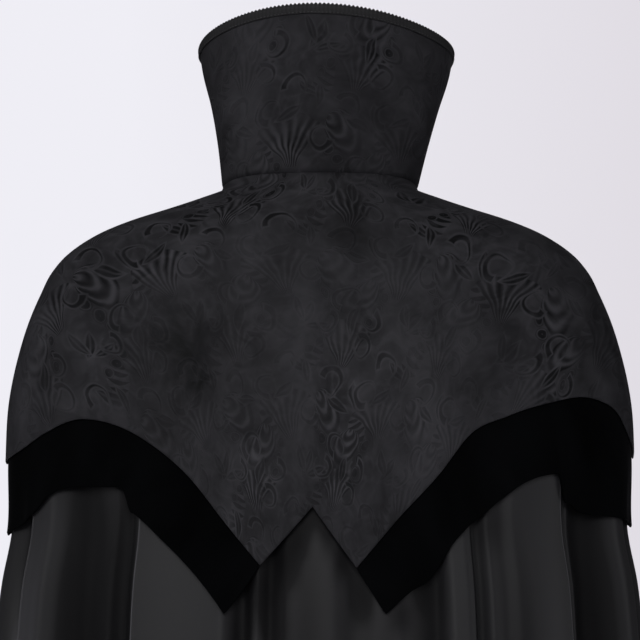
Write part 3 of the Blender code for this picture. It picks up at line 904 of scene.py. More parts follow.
def cloth_shell(name, outer, inner, places, finish, sewn, shares=None):
    """A thin closed shell: its outer and inner grids, joined by a rim. The rim's points lie on half
    circles between the two edges, away from the cloth's next point inwards, or flat along sewn sides."""
    rows, count = outer.shape[:2]
    index = np.arange(rows * count).reshape(rows, count)
    line, column = np.meshgrid(np.arange(rows), np.arange(count), indexing="ij")
    edge = border(index)
    inward = index[np.clip(line, 1, rows - 2), np.clip(column, 1, count - 2)].ravel()[edge]
    outer, inner, places = outer.reshape(-1, 3), inner.reshape(-1, 3), places.reshape(-1, 2)
    middle = (outer[edge] + inner[edge]) / 2
    half = (outer[edge] - inner[edge]) / 2
    away = outer[edge] - outer[inward]
    through = np.sum(away * half, axis=-1, keepdims=True) / np.sum(half**2, axis=-1, keepdims=True)
    away = away - through * half
    sides = ("top", "last", "bottom", "first")
    bulge = np.repeat([0.0 if side in sewn else 1.0 for side in sides], [count - 1, rows - 1] * 2)
    away = unit(away) * np.linalg.norm(half, axis=-1, keepdims=True) * bulge[:, None]
    turns = np.pi * np.arange(1, RIM_STEPS + 1)[:, None, None] / (RIM_STEPS + 1)
    rim = middle + np.cos(turns) * half + np.sin(turns) * away
    total = rows * count
    rim_index = 2 * total + np.arange(RIM_STEPS * len(edge)).reshape(RIM_STEPS, len(edge))
    rings = np.concatenate([edge[None], rim_index, total + edge[None]])
    faces = [grid_faces(index), grid_faces(total + index)[:, ::-1], ring_faces(rings)[:, ::-1]]
    first = outer[index[0, 1]] - outer[index[0, 0]], outer[index[1, 0]] - outer[index[0, 0]]
    if np.dot(np.cross(*first), half[0]) < 0:
        faces = [block[:, ::-1] for block in faces]
    points = np.concatenate([outer, inner, rim.reshape(-1, 3)])
    places = np.concatenate([places, places, np.tile(places[edge], (RIM_STEPS, 1))])
    spread = {}
    for key, values in (shares or {}).items():
        flat = values.ravel()
        spread[key] = np.concatenate([flat, flat, np.tile(flat[edge], RIM_STEPS)])
    return mesh_object(name, points, faces, places, finish, spread)


def step_lengths(points, axis):
    """Distance from each point to the one before it along an axis, 0 for the first."""
    steps = np.linalg.norm(np.diff(points, axis=axis), axis=-1)
    return np.insert(steps, 0, 0, axis=axis)


def cloth_places(points, right):
    """Each point's place on the flat cloth: its distance along its row, positive to the right, and its
    distance down its column, negative."""
    return np.stack(
        [right * np.cumsum(step_lengths(points, 1), axis=1), -np.cumsum(step_lengths(points, 0), axis=0)],
        axis=-1,
    )


def fan_places(points, right, is_front):
    """Each point's place on a cone laid flat: its distance down its column from an apex above the neck seam,
    at the angle that its column's arcs have on average, from the centre back or the centre front."""
    steps = step_lengths(points, 0)
    down = FAN_APEX + np.cumsum(steps, axis=0)
    across = np.cumsum(step_lengths(points, 1), axis=1)
    if is_front:
        across = across - across[:, -1:]
    turn = np.average(across / down, axis=0, weights=steps)
    return np.stack([right * down * np.sin(turn), FAN_APEX - down * np.cos(turn)], axis=-1)


def grid_area(points):
    """Area of a grid of points: half the cross product of each quad's diagonals."""
    first = points[1:, 1:] - points[:-1, :-1]
    second = points[1:, :-1] - points[:-1, 1:]
    return float(np.linalg.norm(np.cross(first, second), axis=-1).sum() / 2)


def declare(piece, node):
    """Rides the piece on the cloak's body, in place of its solid."""
    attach(piece, BODY)
    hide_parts(node)


def declare_sheet(outer, length=None):
    """Works out the cloth's longest row and column, or the length given, and its area, but keeps none."""
    width = float(step_lengths(outer, 1).sum(axis=1).max())
    length = length or float(step_lengths(outer, 0).sum(axis=0).max())
    area = min(grid_area(outer), width * length)


# Materials


class Value:
    """A socket of a finish, with the arithmetic that adds Math nodes."""

    def __init__(self, finish, socket):
        self.finish = finish
        self.socket = socket

    def math(self, operation, *operands, is_clamped=False):
        """One Math node on the given numbers or values."""
        settings = {"operation": operation, "use_clamp": is_clamped}
        return self.finish.node("ShaderNodeMath", settings, dict(enumerate(operands)))[0]

    def __add__(self, other):
        return self.math("ADD", self, other)

    def __sub__(self, other):
        return self.math("SUBTRACT", self, other)

    def __mul__(self, other):
        return self.math("MULTIPLY", self, other)

    def __truediv__(self, other):
        return self.math("DIVIDE", self, other)

    def __radd__(self, other):
        return self.math("ADD", other, self)

    def __rsub__(self, other):
        return self.math("SUBTRACT", other, self)

    def __rmul__(self, other):
        return self.math("MULTIPLY", other, self)

    def __abs__(self):
        return self.math("ABSOLUTE", self)

    def sine(self):
        """Sine of an angle in radians."""
        return self.math("SINE", self)

    def cosine(self):
        """Cosine of an angle in radians."""
        return self.math("COSINE", self)

    def root(self):
        """Square root."""
        return self.math("SQRT", self)

    def larger(self, other):
        """The larger of two values."""
        return self.math("MAXIMUM", self, other)

    def smaller(self, other):
        """The smaller of two values."""
        return self.math("MINIMUM", self, other)

    def wrapped(self, span):
        """The value wrapped into a span round zero."""
        return self.math("WRAP", self, span / 2, -span / 2)

    def rise(self, width):
        """0 where the value is below zero, 1 where it is over width, straight between."""
        return self.math("DIVIDE", self, width, is_clamped=True)


class Finish:
    """The node tree of a material or world. Every node but its first two comes from the node method."""

    def __init__(self, owner, shader="Principled BSDF"):
        owner.use_nodes = True
        self.owner = owner
        self.tree = owner.node_tree
        self.shader = self.tree.nodes[shader]

    def node(self, kind, settings, inputs):
        """Adds a node, sets it up, fills its inputs with numbers or values, and gives its outputs."""
        made = self.tree.nodes.new(kind)
        for name, value in settings.items():
            setattr(made, name, value)
        self.fill(made, inputs)
        return [Value(self, socket) for socket in made.outputs]

    def fill(self, node, inputs):
        """Sets or links a node's inputs, by name or number."""
        for key, value in inputs.items():
            socket = node.inputs[key]
            if isinstance(value, Value):
                self.tree.links.new(value.socket, socket)
            elif socket.type == "RGBA":
                socket.default_value = (*value, 1.0)
            else:
                socket.default_value = value

    def shade(self, inputs):
        """Sets or links the shader's own inputs."""
        self.fill(self.shader, inputs)

    def blend(self, factor, inputs):
        """Mixes the shader with a second one that has inputs of its own."""
        first = Value(self, self.shader.outputs[0])
        second = self.node("ShaderNodeBsdfPrincipled", {}, inputs)[0]
        mixed = self.node("ShaderNodeMixShader", {}, {0: factor, 1: first, 2: second})[0]
        self.tree.links.new(mixed.socket, self.tree.nodes["Material Output"].inputs["Surface"])

    def mix(self, factor, first, second):
        """A colour between two colours."""
        return self.node("ShaderNodeMix", {"data_type": "RGBA"}, {0: factor, 6: first, 7: second})[2]

    def place(self):
        """Place on the flat cloth, in metres."""
        return self.node("ShaderNodeUVMap", {"uv_map": "cloth"}, {})[0]

    def attribute(self, name):
        """A piece's own attribute."""
        return self.node("ShaderNodeAttribute", {"attribute_name": name}, {})[2]

    def vector(self, operation, *operands):
        """One Vector Math node on the given places."""
        return self.node("ShaderNodeVectorMath", {"operation": operation}, dict(enumerate(operands)))[0]

    def stretched(self, place, scale):
        """A place scaled by its own number along each axis."""
        return self.vector("MULTIPLY", place, scale)

    def parts(self, place):
        """The first two numbers of a place."""
        return self.node("ShaderNodeSeparateXYZ", {}, {0: place})[:2]

    def noise(self, place, scale, detail=2.0):
        """Soft noise from 0 to 1."""
        return self.node("ShaderNodeTexNoise", {}, {"Vector": place, "Scale": scale, "Detail": detail})[0]

    def bump(self, height, distance, strength):
        """A normal bent by a height from 0 to 1 that stands for a distance."""
        inputs = {"Height": height, "Distance": distance, "Strength": strength}
        return self.node("ShaderNodeBump", {}, inputs)[0]


def toned(colour, factor):
    """A colour made lighter or darker by a factor."""
    return tuple(factor * part for part in colour)


# Weaves: noise cells in a metre, all ways alike or across, along and through the cloth. The drift's reach
# and the twill's pitch are in metres, and the thread's twist is in radians in a metre
DRIFT_CELLS = 18.0
DRIFT_REACH = 0.023
CLOUD_CELLS = 24.0
GRAIN_CELLS = 70.0
SWIRL_CELLS = 34.0
TWILL_PITCH = 0.0011
BRUSH_CELLS = (18.0, 9.0, 1.0)
PILE_CELLS = 1400.0
DRAG_CELLS = (34.0, 3.0, 1.0)
FLOAT_CELLS = (2600.0, 160.0, 1.0)
FUZZ_CELLS = 900.0
WEAR_CELLS = 700.0
PLY_TWIST = 1600.0

# Brocade motifs: places and sizes in metres in one repeat, turns in degrees. Tones run from -1, dark, to 1
MOTIF_EDGE = 0.0010
MOTIF_OUTLINE = 0.0018
MOTIF_LINE = 0.0011
MOTIF_FACE = 0.40
MOTIF_RIB = 0.85
COMB_BEND = 26.0
COMB_STROKE = 0.36
PALM_FLARE = 0.9
PALM_FOOT = 0.22
PALM_SIDE = 0.5
PALM_TONE = -0.15
SHELL_RIM = 1.1
SHELL_TONE = -0.10
BEAD_SEED = 0.36
BEAD_RIM = 0.74
BEADS = 3
MIDRIB_SHARE = 0.7
COMBS = columns(
    ("right", "up", "turn", "length", "half_width", "pitch"),
    ((0.000, -0.050, 62, 0.040, 0.0105, 0.0074), (-0.049, 0.024, 112, 0.036, 0.0095, 0.0070)),
)
PALMS = columns(
    ("right", "up", "turn", "radius", "spread", "step"),
    ((-0.025, 0.006, 98, 0.044, 0.46, 0.128), (0.027, -0.058, 82, 0.042, 0.46, 0.134)),
)
SHELLS = columns(
    ("right", "up", "turn", "length", "half_width", "bend", "lines"),
    ((0.004, 0.047, -34, 0.038, 0.0150, -7, 3), (0.050, 0.022, 258, 0.036, 0.0135, -8, 3)),
)
LEAVES = columns(
    ("right", "up", "turn", "length", "half_width", "bend"),
    (
        (-0.006, -0.012, 60, 0.026, 0.0042, 9),
        (-0.015, -0.008, 112, 0.024, 0.0040, -9),
        (0.003, -0.021, 14, 0.022, 0.0036, 8),
        (-0.014, -0.058, 142, 0.026, 0.0044, -9),
        (-0.004, -0.063, 86, 0.022, 0.0038, 9),
        (0.030, 0.042, -26, 0.026, 0.0042, 9),
        (0.038, -0.018, 70, 0.026, 0.0044, -8),
        (-0.030, 0.048, 34, 0.024, 0.0040, 9),
        (0.046, 0.050, 104, 0.022, 0.0036, -9),
    ),
)
CHAINS = columns(
    ("right", "up", "turn", "pitch", "half_width"),
    (
        (0.012, 0.010, -54, 0.0130, 0.0056),
        (-0.043, -0.006, 68, 0.0125, 0.0054),
        (0.006, -0.034, 38, 0.0115, 0.0050),
    ),
)
HOOKS = columns(
    ("right", "up", "turn", "radius", "half_width", "reach"),
    (
        (0.022, 0.057, 30, 0.0105, 0.0030, 2.2),
        (-0.003, 0.031, 205, 0.0095, 0.0028, 2.4),
        (0.031, 0.003, 120, 0.0105, 0.0030, 2.1),
        (-0.046, -0.017, -60, 0.0095, 0.0026, 2.4),
        (0.011, -0.016, 300, 0.0090, 0.0028, 2.2),
        (-0.026, -0.054, 80, 0.0100, 0.0030, 2.0),
        (0.047, -0.041, -20, 0.0095, 0.0027, 2.3),
        (-0.047, 0.052, 150, 0.0095, 0.0029, 2.2),
    ),
)


def motif_place(finish, place, repeat, motif):
    """A motif's own coordinates: the cloth's, moved to the motif, wrapped into one repeat and turned."""
    half = (repeat[0] / 2, repeat[1] / 2, 1.0)
    moved = finish.vector("SUBTRACT", place, (motif["right"], motif["up"], 0.0))
    wrapped = finish.vector("WRAP", moved, half, tuple(-edge for edge in half))
    spin = {"Vector": wrapped, "Angle": -math.radians(motif["turn"])}
    return finish.node("ShaderNodeVectorRotate", {"rotation_type": "Z_AXIS"}, spin)[0]


def on_face(dark):
    """The tone of dark strokes on a light face."""
    return MOTIF_FACE - dark * (1 + MOTIF_FACE)


def comb(finish, place, motif):
    """Stacked crescents: bent strokes at even steps along an axis, each thinner towards its ends."""
    ahead, up = finish.parts(place)
    across = up * up
    near = (ahead - across * COMB_BEND).wrapped(motif["pitch"])
    stroke = (1 - across / motif["half_width"] ** 2) * (COMB_STROKE * motif["pitch"]) - abs(near)
    reach = (1 - ahead * ahead * (4 / motif["length"] ** 2)) * motif["half_width"] - abs(up)
    return on_face(stroke.rise(MOTIF_EDGE)), reach


def palm(finish, place, motif):
    """A palmette: dark and light ribs leave its foot side by side and curl apart, inside a round edge."""
    ahead, up = finish.parts(place)
    radius = motif["radius"]
    square = ahead * ahead
    flare = square * (PALM_FLARE / radius**2) + 1
    slope = up / ((ahead.larger(0.0) + PALM_FOOT * radius) * flare)
    rib = (slope * (2 * math.pi / motif["step"])).cosine()
    round_edge = radius - (square + up * up).root()
    reach = round_edge.smaller((motif["spread"] - abs(slope)) * (PALM_SIDE * radius)).smaller(ahead)
    return rib * -MOTIF_RIB + PALM_TONE, reach


def shell(finish, place, motif):
    """Nested loops that share a foot: bent ellipses that touch there, a dark rib at each even share of
    the longest."""
    ahead, up = finish.parts(place)
    off = up - ahead * ahead * motif["bend"]
    stretch = motif["length"] ** 2 / (4 * motif["half_width"] ** 2)
    share = (ahead + off * off * stretch / ahead.larger(MOTIF_EDGE)) / motif["length"]
    rib = (share * (2 * math.pi * motif["lines"])).cosine()
    reach = ((SHELL_RIM - share) * motif["half_width"]).smaller(ahead)
    return rib * -MOTIF_RIB + SHELL_TONE, reach


def chain(finish, place, motif):
    """Ovals in a row: dark outlines, each with a light face and a dark seed."""
    pitch = motif["pitch"]
    ahead, up = finish.parts(place)
    near = ahead.wrapped(pitch)
    oval = (near * near * (4 / pitch**2) + up * up * (1 / motif["half_width"] ** 2)).root()
    ring = (abs(oval - BEAD_SEED) * motif["half_width"] - MOTIF_LINE).rise(MOTIF_EDGE)
    rim = ((oval - BEAD_RIM) * motif["half_width"]).rise(MOTIF_EDGE)
    reach = ((1 - oval) * motif["half_width"]).smaller(BEADS / 2 * pitch - abs(ahead))
    return on_face(rim.larger(1 - ring)), reach


def hook(finish, place, motif):
    """A thick curled stroke: an arc that swells from a fine tail to a blunt head, with a light outline."""
    ahead, up = finish.parts(place)
    radius, turned = motif["radius"], motif["reach"]
    away = abs((ahead * ahead + up * up).root() - radius)
    direction = up.math("ARCTAN2", up, ahead)
    width = (direction + turned) * (motif["half_width"] / (2 * turned))
    stroke = (width - away).smaller((turned - direction) * radius)
    return on_face(stroke.rise(MOTIF_EDGE)), stroke + MOTIF_OUTLINE


def leaf(finish, place, motif):
    """A bent pointed leaf: dark, with a pale midrib and a light line round it."""
    ahead, up = finish.parts(place)
    off = abs(up - ahead * ahead * motif["bend"])
    edge = (1 - ahead * ahead * (4 / motif["length"] ** 2)) * motif["half_width"] - off
    midrib = 1 - (off - MOTIF_LINE / 3).rise(MOTIF_EDGE)
    return on_face(edge.rise(MOTIF_EDGE) * (1 - midrib * MIDRIB_SHARE)), edge + MOTIF_OUTLINE


SHAPES = ((comb, COMBS), (palm, PALMS), (shell, SHELLS), (leaf, LEAVES), (chain, CHAINS), (hook, HOOKS))


def brocade_pattern(finish, place, repeat):
    """Tones of the woven repeat: -1 in dark strokes, 0 in the ground, up to 1 in bright lines. Each motif
    is laid over those before it."""
    pattern = 0.0
    for shape, table in SHAPES:
        for row in zip(*table.values()):
            motif = {name: float(value) for name, value in zip(table, row)}
            tone, reach = shape(finish, motif_place(finish, place, repeat, motif), motif)
            pattern = pattern + reach.rise(MOTIF_EDGE) * (tone - pattern)
    return pattern


def brocade_finish(cloth):
    """Black jacquard: leaves, ribs and beads, dark and light, that drift with the weave over a cloudy
    ground. The piece's attributes say how strongly they show, partly as painted sheen, and where
    painted shade darkens the cloth and painted light lightens it."""
    finish = Finish(bpy.data.materials.new("cloak_brocade"))
    flat = finish.place()
    wander = {"Vector": flat, "Scale": DRIFT_CELLS, "Detail": 2.0}
    drift = finish.vector("SUBTRACT", finish.node("ShaderNodeTexNoise", {}, wander)[1], (0.5, 0.5, 0.5))
    reach = {0: drift, "Scale": DRIFT_REACH}
    place = finish.vector("ADD", flat, finish.node("ShaderNodeVectorMath", {"operation": "SCALE"}, reach)[0])
    pattern = brocade_pattern(finish, place, (cloth.repeat_width, cloth.repeat_height))
    across, up = finish.parts(flat)
    twill = ((across + up) * (2 * math.pi / TWILL_PITCH)).sine() * 0.5 + 0.5
    cloud = (finish.noise(flat, CLOUD_CELLS, 4.0) - 0.28).rise(0.44)
    grain = (finish.noise(flat, GRAIN_CELLS, 1.0) - 0.30).rise(0.36)
    curled = {"Vector": flat, "Scale": SWIRL_CELLS, "Detail": 2.0, "Distortion": 2.4}
    swirl = (finish.node("ShaderNodeTexNoise", {}, curled)[0] - 0.5) * 3.0
    dull = finish.attribute("dull")
    tone = pattern * (grain * 0.6 + 0.5) + swirl * 0.45
    dark = (0 - tone).rise(1.0) * finish.attribute("dark")
    bright = tone.rise(1.0) * finish.attribute("bright")
    ground = cloth.brocade_ground
    # Painted shade and painted light from the attribute, over the ground's random clouds
    shown = cloud * 0.52 + swirl * 0.14 - dull * 0.42 + 0.32
    clouds_and_painted_shade = finish.mix(shown, toned(ground, 0.20), toned(ground, 1.40))
    lit = finish.mix(bright, clouds_and_painted_shade, toned(ground, 2.2))
    finish.shade(
        {
            "Base Color": finish.mix(dark, lit, cloth.brocade_motif),
            "Roughness": 0.52 + dark * 0.12 - bright * 0.10,
            "Specular IOR Level": 0.08,
            "Normal": finish.bump(pattern * 0.45 + twill * 0.1, 0.0008, 0.5),
        }
    )
    return finish.owner


def velvet_finish(cloth):
    """Deep black pile: almost no gloss, a faint sheen along its edges and brushed patches."""
    finish = Finish(bpy.data.materials.new("cloak_velvet"))
    place = finish.place()
    brushed = finish.noise(finish.stretched(place, BRUSH_CELLS), 1.0, 3.0)
    pile = finish.noise(place, PILE_CELLS, 1.0)
    finish.shade(
        {
            "Base Color": finish.mix((brushed - 0.3).rise(0.4), toned(cloth.velvet, 0.30), cloth.velvet),
            "Roughness": 0.92 + pile * 0.08,
            "Specular IOR Level": 0.03,
            "Sheen Weight": 0.02,
            "Sheen Roughness": 0.30,
            "Sheen Tint": (0.55, 0.52, 0.60),
            "Normal": finish.bump(pile, 0.0005, 0.25),
        }
    )
    return finish.owner


def satin_finish(cloth):
    """Black satin: soft broad gloss, fine upright floats, slight drag lines, and painted shade in its
    folds, with painted highlights along its pressed edges."""
    finish = Finish(bpy.data.materials.new("cloak_satin"))
    place = finish.place()
    drag = finish.noise(finish.stretched(place, DRAG_CELLS), 1.0, 3.0)
    floats = finish.noise(finish.stretched(place, FLOAT_CELLS), 1.0, 1.0)
    # Painted shade of the satin from its folds, steps and patches; below zero, painted highlight
    recess = finish.attribute("recess")
    # Painted highlight along the pressed edges: the colour turns far lighter there
    pressed = (0 - recess).rise(1.0)
    relief = finish.bump(drag * 0.9 + floats * 0.1, 0.0012, 0.25)
    plain = finish.mix(drag, toned(cloth.satin, 0.72), cloth.satin)
    finish.shade(
        {
            "Base Color": finish.mix(pressed, plain, toned(cloth.satin, 3.4)),
            "Roughness": 0.46 + drag * 0.06 + floats * 0.04 - pressed * 0.10,
            "Specular IOR Level": 0.30,
            "Normal": relief,
        }
    )
    # Painted shade: a darker, duller copy of the satin blends in as the painted shade grows
    shaded = (recess - 0.08).rise(0.78) * 0.76 + (recess - 0.80).rise(1.20) * 0.21
    shaded_copy = {"Base Color": toned(cloth.satin, 0.25), "Roughness": 0.6, "Specular IOR Level": 0.08}
    finish.blend(shaded, {**shaded_copy, "Normal": relief})
    return finish.owner


def binding_finish(trim):
    """Black braid: ribs across the strip, one to a picot, with a little fuzz."""
    finish = Finish(bpy.data.materials.new("cloak_binding"))
    place = finish.place()
    along_strip, _ = finish.parts(place)
    rib = (along_strip * (2 * math.pi / trim.picot_pitch)).cosine() * 0.5 + 0.5
    fuzz = finish.noise(place, FUZZ_CELLS)
    low = toned(trim.binding, 0.45)
    finish.shade(
        {
            "Base Color": finish.mix(rib * 0.5 + fuzz * 0.4, low, trim.binding),
            "Roughness": 0.66 - rib * 0.06 + fuzz * 0.08,
            "Specular IOR Level": 0.36,
            "Normal": finish.bump(rib * 0.5 + fuzz * 0.5, 0.0003, 0.4),
        }
    )
    return finish.owner


def thread_finish(trim):
    """Black sewing thread: twisted plies along each stitch."""
    finish = Finish(bpy.data.materials.new("cloak_thread"))
    ahead, around = finish.parts(finish.place())
    ply = (ahead * PLY_TWIST + around * (4 * math.pi)).sine() * 0.5 + 0.5
    finish.shade(
        {
            "Base Color": finish.mix(ply, trim.binding, toned(trim.binding, 1.9)),
            "Roughness": 0.55 - ply * 0.12,
            "Normal": finish.bump(ply, 0.0001, 0.5),
        }
    )
    return finish.owner


def wire_finish(trim):
    """Black lacquered wire, slightly worn."""
    finish = Finish(bpy.data.materials.new("cloak_wire"))
    worn = finish.noise(finish.place(), WEAR_CELLS, 3.0)
    finish.shade(
        {
            "Base Color": finish.mix((worn - 0.55).rise(0.2), trim.wire, toned(trim.wire, 4.0)),
            "Metallic": 1.0,
            "Roughness": 0.28 + worn * 0.16,
            "Normal": finish.bump(worn, 0.00005, 0.3),
        }
    )
    return finish.owner


def shared(name, make, settings):
    """A finish by name, made the first time that it is asked for."""
    return bpy.data.materials.get(name) or make(settings)


# Pieces


class CLOAK_OT_collar(bpy.types.Operator):
    """Makes the brocade stand collar"""

    bl_idname = "cloak.collar"
    bl_label = "Collar"

    def execute(self, context):
        finish = shared("cloak_brocade", brocade_finish, context.scene.cloak_cloth)
        rows = np.concatenate([np.linspace(1, COLLAR_SEAM_SHARE, COLLAR_ROWS), COLLAR_SEAM_ROWS])
        place, share = np.meshgrid(np.linspace(-1, 1, COLLAR_COLUMNS), rows)
        up = share * COLLAR_HEIGHT_BACK
        outer = seam_dip(collar_surface(place, share), up)
        inner = outer - COLLAR_WALL * collar_normal(place, share)
        right = -np.cumsum(step_lengths(outer, 1), axis=1)
        places = np.stack([right - right[:, [COLLAR_COLUMNS // 2]], up], axis=-1)
        shares = brocade_shares(place * 180, -up, -up)
        piece = cloth_shell("collar_cloth", outer, inner, places, finish, ("bottom",), shares)
        declare(piece, "collar")
        declare_sheet(outer)
        return {"FINISHED"}


def binding_rings(place, picot):
    """Rings of a U-shaped strip over the collar's top: up the outer leg, over a half circle that the picots
    lift, down the inner leg, and back along the collar itself."""
    near, far = SEAM_GAP, SEAM_GAP + BINDING_WALL
    half_wall = COLLAR_WALL / 2
    up_leg = np.linspace(1 - BINDING_SHARE, 1, BINDING_LEG_STEPS)
    top = np.ones_like(place)
    edge, edge_out = collar_surface(place, top), collar_normal(place, top)
    up = np.cross(np.gradient(edge, axis=0), edge_out)
    up = unit(up * np.sign(up[:, 2:]))

    def leg(share, distance):
        """The collar's outer face at a share of its height, moved out by a distance."""
        level = np.full_like(place, share)
        return collar_surface(place, level) + distance * collar_normal(place, level)

    def arc(turn, radius):
        """A turn of the half circle round the collar's top edge, with the picots by the squared sine."""
        lift = radius + picot[:, None] * np.sin(turn) ** 2
        return edge + (radius * np.cos(turn) - half_wall) * edge_out + lift * np.sin(turn) * up

    turns = np.linspace(0, np.pi, BINDING_TOP_STEPS)[1:-1]
    rings = [leg(share, far) for share in up_leg]
    rings += [arc(turn, half_wall + far) for turn in turns]
    rings += [leg(share, -COLLAR_WALL - far) for share in up_leg[::-1]]
    rings += [leg(share, -COLLAR_WALL - near) for share in (up_leg[0], 1.0)]
    rings += [leg(share, near) for share in (1.0, up_leg[0])]
    return np.stack(rings, axis=1)


def stitch_row(name, middles, ahead, out, trim, finish):
    """Stitches as short round threads: rings along each one, thinner and lower at its two ends by the square
    of the distance from its middle."""
    steps = np.linspace(-1, 1, STITCH_RINGS)[:, None, None]
    turns = np.linspace(0, 2 * np.pi, STITCH_SIDES, endpoint=False)
    middles, ahead, out = middles[:, None, None], ahead[:, None, None], out[:, None, None]
    lengthwise = steps * trim.stitch_length / 2
    swell = trim.thread * np.sqrt(STITCH_FULLNESS - steps**2)
    lift = STITCH_LIFT * trim.thread * (1 - STITCH_DIVE * steps**2)
    circle = np.cos(turns)[:, None] * np.cross(ahead, out) + np.sin(turns)[:, None] * out
    points = middles + lengthwise * ahead + swell * circle + lift * out
    index = np.arange(points.size // 3).reshape(points.shape[:3])
    faces = [np.concatenate([ring_faces(block) for block in index]), index[:, 0], index[:, -1, ::-1]]
    lengthwise = np.broadcast_to(lengthwise[:, 0], points.shape[1:3])
    around = np.broadcast_to(turns / (2 * np.pi), points.shape[1:3])
    places = np.tile(np.stack([lengthwise, around], axis=-1), (len(middles), 1, 1, 1))
    return mesh_object(name, points.reshape(-1, 3), faces, places.reshape(-1, 2), finish)


class CLOAK_OT_binding(bpy.types.Operator):
    """Makes the ribbed binding along the collar's top, with its picots and stitches"""

    bl_idname = "cloak.binding"
    bl_label = "Collar binding"

    def execute(self, context):
        trim = context.scene.cloak_trim
        even = np.linspace(-1, 1, COLLAR_COLUMNS)
        lengths = np.cumsum(step_lengths(collar_surface(even, np.ones_like(even))[None], 1)[0])
        picots = round(lengths[-1] / trim.picot_pitch)
        distance = np.linspace(0, lengths[-1], picots * BINDING_STEPS_PER_PICOT + 1)
        place = np.interp(distance, lengths, even)
        picot = trim.picot_height * np.abs(np.sin(np.pi * distance * picots / lengths[-1]))
        rings = binding_rings(place, picot)
        index = np.arange(rings.size // 3).reshape(rings.shape[:2])
        faces = [ring_faces(index), index[:1, ::-1], index[-1:]]
        across = np.cumsum(step_lengths(rings, 1), axis=1)
        places = np.stack([np.broadcast_to(distance[:, None], across.shape), across], axis=-1)
        finish = shared("cloak_binding", binding_finish, trim)
        points, places = rings.reshape(-1, 3), places.reshape(-1, 2)
        piece = mesh_object("collar_binding_braid", points, faces, places, finish)
        declare(piece, "collar_binding")
        stitches = self.sew(trim, lengths, even)
        strip = 2 * (BINDING_LEG_STEPS - 1) + BINDING_TOP_STEPS
        declare_sheet(rings[:, :strip], float(lengths[-1]))
        return {"FINISHED"}

    def sew(self, trim, lengths, even):
        """One row of stitches near the strip's lower edge on each face of the collar."""
        count = int(lengths[-1] / trim.stitch_pitch)
        place = np.interp((np.arange(count) + 0.5) * trim.stitch_pitch, lengths, even)
        level = np.full_like(place, 1 - STITCH_LEVEL * BINDING_SHARE)
        face, out = collar_surface(place, level), collar_normal(place, level)
        ahead = unit(np.gradient(face, axis=0))
        finish = shared("cloak_thread", thread_finish, trim)
        rows = []
        clear = SEAM_GAP + BINDING_WALL
        for name, distance, facing in (("outer", clear, 1), ("inner", -COLLAR_WALL - clear, -1)):
            middles = face + distance * out
            row = stitch_row(f"binding_stitches_{name}", middles, ahead, facing * out, trim, finish)
            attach(row, BODY)
            rows.append(row)
        return rows


def quarters():
    """Each quarter's name, its half and whether it is a front."""
    for half in HALVES:
        for where, is_front in QUARTERS:
            yield f"{where}_{half['hand']}", half, is_front


def sewn_sides(is_front):
    """The sides of a quarter that are sewn: a front's last side is the free edge of the opening."""
    return ("top", "first") if is_front else ("top", "first", "last")


class CLOAK_OT_capelet(bpy.types.Operator):
    """Makes the four quarters of the brocade capelet"""

    bl_idname = "cloak.capelet"
    bl_label = "Capelet"

    def execute(self, context):
        finish = shared("cloak_brocade", brocade_finish, context.scene.cloak_cloth)
        for name, half, is_front in quarters():
            self.make_quarter(name, half["hem"], half["side"], is_front, finish)
        return {"FINISHED"}

    def make_quarter(self, name, hem, side, is_front, finish):
        """A quarter from the neck seam to its pointed and arched hem."""
        point = hem["angle"][0]
        notch = np.linspace(side * NOTCH_ANGLE, point, CAPELET_NOTCH_STEPS + 1)
        arch = np.linspace(point, 90, CAPELET_ARCH_STEPS + 1)
        steps = with_supports(np.concatenate([notch, arch[1:]]), SUPPORT_ANGLE)
        length = hem_drop(hem, steps) - BROCADE_WALL / 2
        share = np.linspace(0, 1, CAPELET_ROWS) ** CAPELET_ROW_CROWDING
        drop = np.outer(np.insert(share, 1, SUPPORT_SHARE), length)
        if is_front:
            steps, drop = 180 - steps[::-1], drop[:, ::-1]
        angle = side * panel_angles(steps, drop, is_front)
        angle = drawn_in(form, angle, drop, 0, BROCADE_WALL / 2 if is_front else 0)
        outer = seam_dip(form(angle, drop), drop)
        places = fan_places(outer, -side, is_front)
        inner = seam_dip(inside(form, angle, drop, BROCADE_WALL), drop)
        sewn = sewn_sides(is_front)
        shares = brocade_shares(angle, drop, np.cumsum(step_lengths(outer, 0), axis=0))
        piece = cloth_shell(f"capelet_{name}_cloth", outer, inner, places, finish, sewn, shares)
        declare(piece, f"capelet_{name}")
        declare_sheet(outer)


